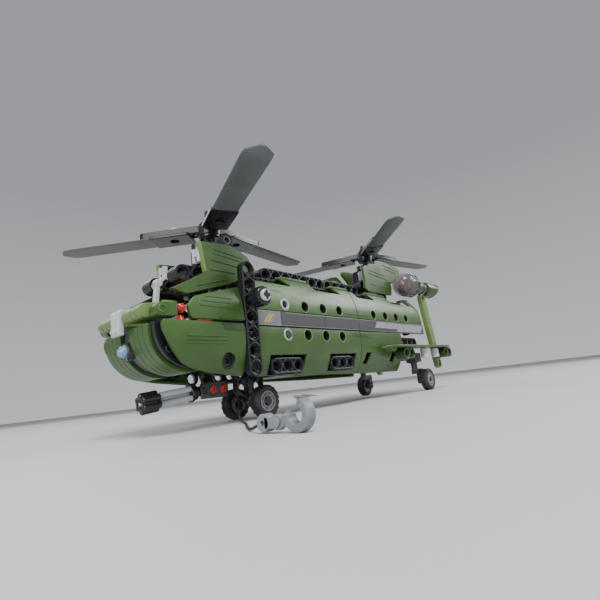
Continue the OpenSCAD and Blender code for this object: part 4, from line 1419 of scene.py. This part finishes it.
class Pods:
    """Engine pods with smoky domes in front and open scoops behind."""

    CENTRE = (0.0, 3.4 * PITCH, 8.1 * PITCH)

    def build(self) -> None:
        """Makes both pods."""
        mid, band, front = -16.4 * PITCH, -13.5 * PITCH, -12.85 * PITCH
        neck = [(0, mid - 1), (4.8, mid - 1), (4.8, mid + 5), (5.3, mid + 5.4), (5.3, mid + 6.4),
                (4.8, mid + 6.8),
                (4.8, band - 5), (5.6, band - 4), (6.4, band - 2.4), (6.4, band), (0, band)]
        pod = Solid.lathe(neck, Axis.X, 48).add(self.scoop(mid))
        pod.add(Solid.box((mid + 2, -0.7, 4.4), (band - 3, 0.7, 6.4), 0.3))
        piece(both(pod.moved(*self.CENTRE)), "engine_pods", Tone.DEEP_OLIVE, stands_for=["nacelles"])
        ring = Solid.lathe([(6.0, band), (8.9, band), (9.4, band + 0.5), (9.4, front - 0.4), (9.0, front),
                            (6.8, front),
                            (6.8, band + 2.4), (6.0, band + 2.4)], Axis.X, 48)
        lugs = REPEATER.spread(Solid.box((band + 0.9, -1.0, 8.9), (front - 0.9, 1.0, 9.9), 0.25), 8,
                               turn=(45, 0, 0))
        piece(both(ring.add(lugs).moved(*self.CENTRE)), "pod_rings", Tone.BLACK)
        # A black disc deep in each scoop darkens its inside: painted shade.
        floor = Solid.rod(5.1, mid - 7.1, mid - 6.4, Axis.X, 0.1).moved(*self.CENTRE)
        piece(both(floor), "pod_scoop_floors", Tone.BLACK)
        self.dome()
        self.core()

    @staticmethod
    def scoop(start: float) -> Solid:
        """The open tail of a pod, cut on a slant.

        Args:
            start: where it leaves the neck.

        Returns:
            The scoop round the X axis.
        """
        end = -19.6 * PITCH
        profile = [(0, start), (5.4, start), (6.2, start - 1), (6.6, start - 2.4), (6.6, end + 1.6),
                   (6.9, end + 1.2), (6.9, end),
                   (5.4, end), (5.2, end + 1.2), (5.2, start - 7.2), (0, start - 7.2)]
        slope = -1.6 / 1.9

        def slanted(point: Vector) -> Vector:
            """Pulls the open end forward towards the bottom."""
            if point.x > end + 1.7:
                return point
            pull = slope * (point.z + PITCH) - 17.9 * PITCH
            return Vector((pull + (point.x - end), point.y, point.z))

        return Solid.lathe(profile, Axis.X, 48).bent(slanted)

    def dome(self) -> None:
        """The clear domes, open to the ring behind."""
        centre = -12.1 * PITCH
        start = centre - 0.72 * PITCH
        quarter = [math.radians(a) for a in range(0, 91, 10)]
        outer = [(9.6 * math.cos(t), centre + 9.6 * math.sin(t)) for t in quarter]
        inner = [(8.2 * math.cos(t), centre + 8.2 * math.sin(t)) for t in reversed(quarter)]
        profile = [(8.2, start), (9.6, start), (9.6, start + 1.6), (9.4, start + 1.8), (9.4, start + 2.2),
                   (9.6, start + 2.4)]
        profile = [(0.0 if r < 1e-3 else r, h) for r, h in profile + outer + inner]
        piece(both(Solid.lathe(profile, Axis.X, 48).moved(*self.CENTRE)), "pod_domes", Tone.SMOKE,
              stands_for=["intake_domes"])

    def core(self) -> None:
        """The red crosses and their stalks."""
        stalk = Solid.rod(2.3, -13.15 * PITCH, -11.9 * PITCH, Axis.X)
        stalk.add(Solid.lathe([(0, -95.4), (2.3, -95.4), (1.6, -94.2), (0, -93.6)], Axis.X, 24))
        blade = Solid.plate([rounded([(-0.9, -5.5), (0.9, -5.5), (0.9, 5.5), (-0.9, 5.5)], 0.5)], 2, 0.25,
                            Lie.YZ)
        blade.moved(x=-12.225 * PITCH)
        cross = stalk.add(blade, blade.copy().spun(90, "X"))
        piece(both(cross.moved(*self.CENTRE)), "pod_crosses", Tone.RED, stands_for=["intake_cores"])


class Tail:
    """Slanted posts, winglets and their brackets."""

    def build(self) -> None:
        """Makes the tail."""
        self.posts()
        x0, x1, y, r = -16.7 * PITCH, -6.1 * PITCH, 30.4, 9.0
        outline = [(x0 - r, y), *arc((x0, y), r, 180, 90, 12), *arc((x1, y), r, 90, 0, 12)]
        spots = (-7.5, -8.5, -16.1, -17.1)
        holes = [circle((x * PITCH, 34.4), HOLE_R, 24) for x in spots]
        wing = Solid.plate([outline, *holes], 1.6, 0.3).moved(z=1.5 * PITCH + 0.8)
        wing.add(Solid.box((x0, y + 0.2, 1.5 * PITCH + 1.3), (x1, y + 1.2, 1.5 * PITCH + 2.2), 0.2))
        lip = Solid.plate([rounded(ringed([(-6.3, 1.55), (-5.02, 1.62), (-5.3, 1.3), (-6.1, 1.2)]), 0.8)],
                          5.6, 0.35, Lie.XZ)
        piece(both(wing.add(lip.moved(y=33.8))), "winglets_rounded", Tone.OLIVE, stands_for=["winglets"])
        arms = Solid().add(*(beam(2, (x, 34.4 / PITCH, 0.98), Lie.XZ) for x in (-8, -16.6)))
        piece(both(arms), "winglet_beams", Tone.DEEP_OLIVE, stands_for=["winglet_brackets"])
        spacers = Solid().add(*(bush(3.0, 0.55 * PITCH, 1.45 * PITCH, Axis.Z, 1.2).moved(x * PITCH, 34.4)
                                for x in (-12, -14.4)))
        piece(both(spacers), "winglet_spacers", Tone.SILVER)
        studs = Solid().add(*(Solid.tube(1.5, 2.35, 1.5 * PITCH - 1, 1.5 * PITCH + 2.3,
                                         Axis.Z).moved(x * PITCH, 34.4) for x in spots))
        piece(both(studs), "winglet_pins", Tone.BLACK)

    @staticmethod
    def posts() -> None:
        """The slanted posts, holed at each end, with light pins in their feet."""
        half = 3.5 * PITCH
        edge = BEAM_W / 2
        outline = arc((half, 0), edge, -90, 90, 12) + arc((-half, 0), edge, 90, 270, 12)
        ends = [(half, 0.0), (-half, 0.0)]
        post = Solid.plate([outline, *(circle(spot, COUNTERBORE_R, 24) for spot in ends)], THIN_W, 0.45)
        inner = [(x * 0.99, y * 0.85) for x, y in outline]
        post.add(Solid.plate([inner, *(circle(spot, HOLE_R, 24) for spot in ends)], THIN_W - 1.2, 0.1))
        pin = pin_head(THIN_W / 2 - 0.3).moved(-half, 0, 0)
        for shape, name, tone, nodes in ((post, "tail_posts_slim", Tone.LIGHT_OLIVE, ["tail_posts"]),
                                         (pin, "tail_post_pins", Tone.SILVER, [])):
            shape.turned(Lie.ZX.value).spun(8.8, "Y").moved(-15.88 * PITCH, half + 0.2, 3.43 * PITCH)
            piece(both(shape), name, tone, stands_for=nodes)


# ---------------------------------------------------------------- gear, gun and winch


class Wheels:
    """Nose gear, casters and their wheels."""

    RADIUS = 8.2
    WIDTH = 6.0
    AXLE_X = 6.7 * PITCH
    HEIGHT = -12.0

    def build(self) -> None:
        """Makes the running gear."""
        legs = both(beam(3, (6.7, 6 / PITCH, (self.HEIGHT + PITCH) / PITCH), Lie.ZX, THIN_W))
        legs.add(beam(2, (8.1, 7.6 / PITCH, -0.6 / PITCH), Lie.ZX, THIN_W))
        piece(legs, "nose_leg_beams", Tone.BLACK, stands_for=["gear_strut"])
        ring = Solid.lathe([(1.7 + 1.7 * 0.5 + 0.85 * math.cos(t), 1.5 * math.sin(t))
                            for t in (2 * math.pi * i / 12 for i in range(12))], Axis.X, 28)
        piece(ring.spun(25).moved(8.3 * PITCH, 7.6, -12), "guide_eye", Tone.BLACK, stands_for=["guide_ring"])
        centre = (self.AXLE_X, 0, self.HEIGHT)
        axle = cross_axle(-14.6, 14.6, Axis.Y).moved(*centre)
        tyres, rims = Solid(), Solid()
        for side in (1, -1):
            tyre, rim = self.wheel(side, 2.4)
            tyres.add(tyre.moved(y=12 * side).moved(*centre))
            rims.add(rim.moved(y=12 * side).moved(*centre))
        piece(tyres, "nose_tyres", Tone.TYRE, "nose_wheels", ["front_wheels"])
        piece(rims, "nose_rims", Tone.STONE, "nose_wheels")
        piece(axle, "nose_axle", Tone.BLACK, "nose_wheels")
        for side in Side:
            self.caster(side)

    def wheel(self, side: int, bore: float) -> tuple[Solid, Solid]:
        """A tyre with blocks round it, and its ringed rim.

        Args:
            side: which way its outer face looks along Y.
            bore: radius of its axle hole.

        Returns:
            The tyre and the rim, centred.
        """
        r, w = self.RADIUS, self.WIDTH / 2
        profile = [(5.0, -w + 0.5), (5.9, -w), (7.2, -w + 0.15), (r - 0.25, -w + 0.9), (r - 0.1, -0.5),
                   (r - 0.45, -0.3),
                   (r - 0.45, 0.3), (r - 0.1, 0.5), (r - 0.25, w - 0.9), (7.2, w - 0.15), (5.9, w),
                   (5.0, w - 0.5)]
        tyre = Solid.lathe(profile, Axis.Y, 48)
        block = Solid.box((-0.8, 0.7, r - 0.5), (0.8, w - 0.7, r), 0.15)
        tyre.add(REPEATER.spread(block, 18, turn=(0, 20, 0), tone=Tone.TYRE))
        other = block.copy().moved(y=-w).spun(10, "Y")
        tyre.add(REPEATER.spread(other, 18, turn=(0, 20, 0), tone=Tone.TYRE))
        face = w - 0.4
        rim = Solid.lathe([(bore, -w + 0.9), (5.05, -w + 0.9), (5.05, face), (4.5, face + 0.1),
                           (4.2, face - 0.9),
                           (3.6, face - 0.9), (3.3, face), (2.6 + (bore > 2) * 0.3, face),
                           (bore + 0.15, face - 0.6), (bore, face - 0.6)],
                          Axis.Y, 36)
        spoke = Solid.box((3.3, face - 1.4, -0.4), (4.4, face - 0.4, 0.4), 0.1)
        rim.add(REPEATER.spread(spoke, 8, turn=(0, 45, 0), tone=Tone.STONE))
        if side < 0:
            rim, tyre = rim.spun(180, "X"), tyre.spun(180, "X")
        return tyre, rim

    def caster(self, side: Side) -> None:
        """A swivelling leg and its wheel on one side."""
        x, y, axle_x = -12 * PITCH, 3 * PITCH, -13 * PITCH
        leg = Solid.rod(2.38, -4.8, 10, Axis.Z, 0.4, 36).moved(x, y)
        leg.add(Solid.box((axle_x - 2, y - 2, -7), (axle_x - 2 + PITCH + 4, y + 2, -3), 0.5))
        leg.add(Solid.box((axle_x - 2, y - 2, self.HEIGHT - 2.4), (axle_x + 2, y + 2, -5), 0.5))
        leg.add(Solid.rod(2.9, y - 2, y + 2, Axis.Y).moved(axle_x, 0, self.HEIGHT))
        leg.add(Solid.rod(1.6, y - 2.4, y + 8.9, Axis.Y).moved(axle_x, 0, self.HEIGHT))
        word = side.word
        piece(leg.on(side), f"caster_leg_{word}", Tone.CHARCOAL, f"{word}_caster", [f"caster_{word}"])
        tyre, rim = self.wheel(1, 1.65)
        spot = (axle_x, y + 5.4, self.HEIGHT)
        piece(tyre.moved(*spot).on(side), f"tail_tyre_{word}", Tone.TYRE, f"{word}_wheel", [f"wheel_{word}"])
        piece(rim.moved(*spot).on(side), f"tail_rim_{word}", Tone.STONE, f"{word}_wheel")


class Gun:
    """The tilting gun under the nose."""

    X, Z, TILT = 10.5 * PITCH, -0.45 * PITCH, 6.0

    def build(self) -> None:
        """Makes the gun."""
        bores = [circle((x * PITCH, self.Z), 2.1, 28) for x in (9.1, 9.85)]
        low, high = (8.75 * PITCH, self.Z - 3.9), (10.2 * PITCH, self.Z + 3.9)
        outline = rounded([low, (high[0], low[1]), high, (low[0], high[1])], 0.9)
        block = Solid.plate([outline, *bores], BEAM_W, 0.35, Lie.XZ)
        ear = [(high[0] - 1, self.Z - 2.2), (self.X, self.Z - 2.2), *arc((self.X, self.Z), 2.2, -90, 90, 12),
               (high[0] - 1, self.Z + 2.2)]
        hole = circle((self.X, self.Z), 1.56, 24)
        block.add(both(Solid.plate([ear, hole], 1.3, 0.15, Lie.XZ).moved(y=3.25)))
        piece(block, "gun_block_eared", Tone.CHARCOAL, stands_for=["gun_block"])
        crosses = Solid()
        for x in (9.1, 9.85):
            pin = Solid.rod(2.05, -4.0, 4.0, Axis.Y)
            arm = both(Solid.box((-1.7, 3.9, -0.5), (1.7, 4.35, 0.5), 0.15))
            crosses.add(pin.add(arm, arm.copy().spun(90, "Y")).spun(45, "Y").moved(x * PITCH, 0, self.Z))
        piece(crosses, "gun_cross_pins", Tone.RED, stands_for=["red_cross_pins"])
        self.cradle()
        self.barrels()

    def place(self, shape: Solid) -> Solid:
        """Tilts a shape drawn along +X and puts it on the gun's pivot."""
        return shape.spun(self.TILT, "Y").moved(self.X, 0, self.Z)

    def cradle(self) -> None:
        """The cradle between the ears, with its cross pin and flange."""
        body = Solid.rod(2.4, -1.2, 3.0, Axis.X, 0.4)
        body.add(Solid.lathe([(0, 2.6), (3.3, 2.6), (3.6, 2.9), (3.6, 3.9), (3.2, 4.2), (0, 4.2)], Axis.X,
                             32))
        body.add(Solid.rod(1.5, -3.9, 3.9, Axis.Y, 0.2))
        piece(self.place(body), "gun_cradle_pinned", Tone.BLACK, "gun_tilt", ["gun_cradle"])

    def barrels(self) -> None:
        """Four turning tubes round a core, with a rear and a lobed front collar."""
        tube = Solid.tube(0.75, 1.3, 6.3, 22.3, Axis.X, 0.15, 20).moved(z=2.9).spun(45, "X")
        tubes = REPEATER.spread(tube, 4, turn=(90, 0, 0), tone=Tone.SILVER)
        tubes.add(Solid.rod(1.2, 6.3, 30.1, Axis.X))
        piece(self.place(tubes), "gun_tubes", Tone.SILVER, "gun_spin", ["gun_barrels"])
        rear = Solid.lathe([(0, 4.5), (3.9, 4.5), (4.2, 4.8), (4.2, 6.2), (3.9, 6.5), (0, 6.5)], Axis.X, 36)
        groove = [(1.3, 22), (3.4, 22), (3.4, 22.8), (3.0, 23.0), (3.0, 24.0), (3.5, 24.2), (3.5, 29.2),
                  (3.1, 29.6),
                  (3.1, 30.3), (2.3, 30.3), (2.3, 29.0), (1.3, 29.0)]
        front = Solid.lathe(groove, Axis.X, 36)
        lobe = Solid.rod(1.5, 22.1, 30.1, Axis.X, 0.3, 16).moved(z=3.15)
        front.add(REPEATER.spread(lobe, 6, turn=(60, 0, 0)))
        muzzle = Solid.tube(0.7, 1.15, 29.0, 30.4, Axis.X, 0.1, 16).moved(z=2.0).spun(45, "X")
        front.add(REPEATER.spread(muzzle, 4, turn=(90, 0, 0)))
        piece(self.place(rear.add(front)), "gun_collars", Tone.BLACK, "gun_spin")


class Winch:
    """Winch axle, drum with string turns, and knob; the hook and shackle at the string's end."""

    X, Z = 6 * PITCH, 2.5 * PITCH

    def build(self) -> None:
        """Makes the winch."""
        axle = cross_axle(-36, 28.6, Axis.Y)
        for y in (-6, 4.8):
            axle.add(Solid.tube(2.4, 7, y, y + 1.2, Axis.Y, 0.25, 40))
        axle.add(Solid.tube(2.4, 4.5, -4.7, 4.7, Axis.Y, 0.1, 36))
        knob = Solid.tube(2.4, 5.1, -36, -30, Axis.Y, 0.5, 36)
        rib = Solid.box((-0.6, -35.7, 4.6), (0.6, -30.3, 5.5), 0.2)
        axle.add(knob, REPEATER.spread(rib, 12, turn=(0, 30, 0)))
        piece(axle.moved(self.X, 0, self.Z), "winch_spool", Tone.CHARCOAL, "winch", ["winch_drum"])
        turn = Solid.lathe([(4.9 + 0.45 * math.cos(t), -4.2 + 0.45 * math.sin(t))
                            for t in (2 * math.pi * i / 8 for i in range(8))], Axis.Y, 36)
        coil = REPEATER.spread(turn, 9, step=(0, 1.05, 0), tone=Tone.STRING)
        piece(coil.moved(self.X, 0, self.Z), "winch_turns", Tone.STRING, "winch")

    @staticmethod
    def tackle() -> list[bpy.types.Object]:
        """The shackle and the hook.

        Returns:
            Both pieces.
        """
        x, y, z = 107.0, 70.0, Studio.FLOOR_Z + 3.2
        head = Solid.tube(0.9, 2.8, -1.9, 1.9, Axis.X)
        cheek = [(0.9, -1.7), (5.6, -1.7), *arc((5.6, 0), 1.7, -90, 90, 10), (0.9, 1.7)]
        for side in (-1.62, 1.62):
            head.add(Solid.plate([cheek], 0.56, 0.12, Lie.YZ).moved(x=side))
        head.add(Solid.rod(1.1, -1.95, 1.95, Axis.X, 0.15).moved(y=5.6))
        shackle = piece(head.moved(x, y, z), "shackle_forked", Tone.STONE, stands_for=["hook_shackle"])
        eye = Solid.plate([circle((0, 0), 2.4, 32), circle((0, 0), 1.2, 20)], 2.4, 0.3, Lie.YZ)
        shank = [(1.6, -1.7), (4.6, -1.0), (4.6, 3.4), (1.6, 1.5)]
        eye.add(Solid.plate([rounded(shank, 0.5)], 2.4, 0.3, Lie.YZ))
        centre = (8.6, 2.05)
        bend = arc(centre, 5.2, -185, 88, 30) + arc((centre[0], centre[1] + 4.0), 1.2, 90, 0,
                                                    5) + arc(centre, 2.6, 82, -185, 24)
        eye.add(Solid.plate([bend], 3.8, 0.5, Lie.YZ))
        hook = piece(eye.moved(x, y + 5.6, z), "hook_open", Tone.STONE, stands_for=["cargo_hook"])
        return [shackle, hook]


# ---------------------------------------------------------------- rotors and drive


class Rotor:
    """A mast, hub and three blades."""

    def __init__(self, word: str, x: float, hub_z: float, phase: float, gears: Sequence[float],
                 top: float) -> None:
        """Notes where the rotor is.

        Args:
            word: front or rear.
            x: its place along the hull.
            hub_z: height of its hub.
            phase: direction of its first blade in degrees.
            gears: heights of the gears on its mast.
            top: how far the mast stands over the hub's middle.
        """
        self.word, self.x, self.hub_z, self.phase, self.gears, self.top = word, x, hub_z, phase, gears, top
        self.body = f"{word}_rotor"

    def build(self) -> None:
        """Makes the rotor."""
        start = self.gears[0] + 4.4
        mast = cross_axle(start, self.hub_z + self.top, Axis.Z)
        for height in self.gears:
            mast.add(bevel().moved(z=height))
        self.make(mast, "mast_geared", Tone.CHARCOAL, [f"{self.word}_mast"])
        profile = [(2.4, -5), (5.4, -5), (6.0, -4.4), (6.0, -3.2), (6.5, -2.9), (6.5, 3.2), (5.2, 3.6),
                   (5.2, 4.6), (4.8, 5), (2.4, 5)]
        arms = Solid.lathe(profile, steps=40)
        blades, roots, pins, bolts = Solid(), Solid(), Solid(), Solid()
        plate = [rounded([(10, -7), (32, -7), (32, 7), (10, 7)], 1.5), circle((20, 0), HOLE_R, 24)]
        for i in range(3):
            angle = self.phase + 120 * i
            arms.add(beam(5, (0, 0, 0), Lie.XY, THIN_W).moved(20, 0, 1).spun(angle))
            blades.add(self.blade().spun(angle))
            roots.add(Solid.plate(plate, 1.8, 0.35).moved(z=-1.9).spun(angle))
            for reach in (12, 28):
                pins.add(pin_head(2.15).moved(reach, 0, 0).spun(angle))
            bolts.add(Solid.tube(1.2, 2.3, 1, 4.4).moved(20, 0, 0).spun(angle))
        cap = Solid.tube(2.4, 3.6, 5.0, 7.2, Axis.Z, 0.4)
        self.make(arms.moved(z=self.hub_z).add(cap.moved(z=self.hub_z)), "hub_armed", Tone.BLACK,
                  [f"{self.word}_hub"])
        self.make(blades.moved(z=self.hub_z), "blades_shaped", Tone.BLADE, [f"{self.word}_blades"])
        self.make(roots.moved(z=self.hub_z), "blade_roots", Tone.BLACK, [])
        tip = Solid.rod(1.5, self.top - 5, self.top + 0.2, Axis.Z, 0.4).moved(z=self.hub_z)
        self.make(pins.add(bolts).moved(z=self.hub_z).add(tip), "hub_pins", Tone.SILVER, [])

    def make(self, shape: Solid, name: str, tone: Tone, nodes: Sequence[str]) -> None:
        """Puts a shape drawn round the mast into place as a piece."""
        piece(shape.moved(x=self.x), f"{self.word}_{name}", tone, self.body, nodes)

    @staticmethod
    def blade() -> Solid:
        """One blade along +X: cambered aerofoil and raised lines.

        Returns:
            The blade, with the hub's middle at the origin.
        """
        rings = []
        for i in range(15):
            x = 31 + 53 * i / 14
            reach = min(1.0, math.sqrt(max(0.0, 1 - ((x - 77.5) / 6.6) ** 2)) if x > 77.5 else 1.0)
            half = max(6.5 * reach, 0.6)
            high = 0.28 + 0.62 * max(reach, 0.3)
            section = [(-1, 0.12), (-0.86, 0.6), (-0.5, 1.0), (0.05, 0.85), (0.55, 0.5), (0.94, 0.22),
                       (1, 0.05)]
            top = [(half * a, -1.9 + high * b) for a, b in section]
            base = [(half * a, -2.0 - high * 0.8 * b) for a, b in reversed(section)]
            rings.append([(x, y, z) for y, z in top + base])
        blade = Solid.loft(rings)
        for y in (-2.2, 1.4):
            blade.add(Solid.box((33, y - 0.3, -1.4), (72, y + 0.3, -0.95), 0.12))
        return blade.add(Solid.box((29.5, -4.5, -1.3), (33.5, 4.5, -0.98), 0.12))


def bevel() -> Solid:
    """A 12-tooth bevel gear on the Z axis with its teeth towards the origin."""
    profile = [(2.4, 4.3), (3.2, 4.3), (6.9, 8), (6.9, 9.3), (6.6, 9.6), (4.2, 9.6), (4.0, 9.3), (2.4, 9.3)]
    gear = Solid.lathe(profile, steps=36)
    tooth = Solid.box((-1.3, -0.55, -1.35), (1.3, 0.55, 0.65), 0.15).spun(-45, "Y").moved(5.7, 0, 6.8)
    return gear.add(REPEATER.spread(tooth, 12, turn=(0, 0, 30)))


class DriveLine:
    """The roof shaft and the hand knob."""

    FRONT, REAR, SHAFT, KNOB = 9 * PITCH, -11 * PITCH, 7 * PITCH, 4.5 * PITCH

    def build(self) -> None:
        """Makes the drive line."""
        shaft = cross_axle(self.REAR + 4.4, self.FRONT - 4.4, Axis.X)
        shaft.add(bevel().spun(15).spun(-90, "Y").moved(x=self.FRONT))
        shaft.add(bevel().spun(15).spun(90, "Y").moved(x=self.REAR))
        for x in (-6.2, -0.3, 6.6):
            shaft.add(bush(3.6, x * PITCH, x * PITCH + 3.9, Axis.X))
        piece(shaft.moved(z=self.SHAFT), "roof_shaft_geared", Tone.CHARCOAL, "drive_line", ["drive_shaft"])
        axle = cross_axle(4.4, 40, Axis.Y)
        axle.add(bevel().spun(15).spun(-90, "X"))
        knob = Solid.tube(2.4, 4.3, 32.3, 38.3, Axis.Y, 0.4, 36)
        rib = Solid.box((-0.5, 32.6, 3.9), (0.5, 38.0, 4.75), 0.2)
        axle.add(knob, REPEATER.spread(rib, 14, turn=(0, 360 / 14, 0)))
        spot = (self.FRONT, 0, self.KNOB)
        piece(axle.moved(*spot), "hand_knob_ribbed", Tone.BLACK, "hand_knob", ["drive_knob"])
        cap = Solid.lathe([(0, 38.2), (2.6, 38.2), (2.8, 38.5), (2.8, 39.6), (2.4, 40.0), (1.7, 40.0),
                           (1.5, 39.7), (0, 39.7)], Axis.Y, 32)
        piece(cap.moved(*spot), "hand_knob_cap", Tone.SILVER, "hand_knob")


def main() -> None:
    """Builds the scene in order."""
    logging.basicConfig(level=logging.INFO, format="%(name)s %(message)s")
    studio = Studio()
    studio.camera()
    WinchString().build()
    Chassis().build()
    Hull().build()
    Nose().build()
    Cockpit().build()
    Towers().build()
    Pods().build()
    Tail().build()
    Wheels().build()
    Gun().build()
    Winch().build()
    Rotor("front", 9 * PITCH, 10.2 * PITCH, 68, (4.5 * PITCH, 7 * PITCH), 12).build()
    Rotor("rear", -11 * PITCH, 12 * PITCH, 48, (7 * PITCH,), 10).build()
    DriveLine().build()
    studio.floor()
    studio.lights()


if __name__ == "__main__":
    main()
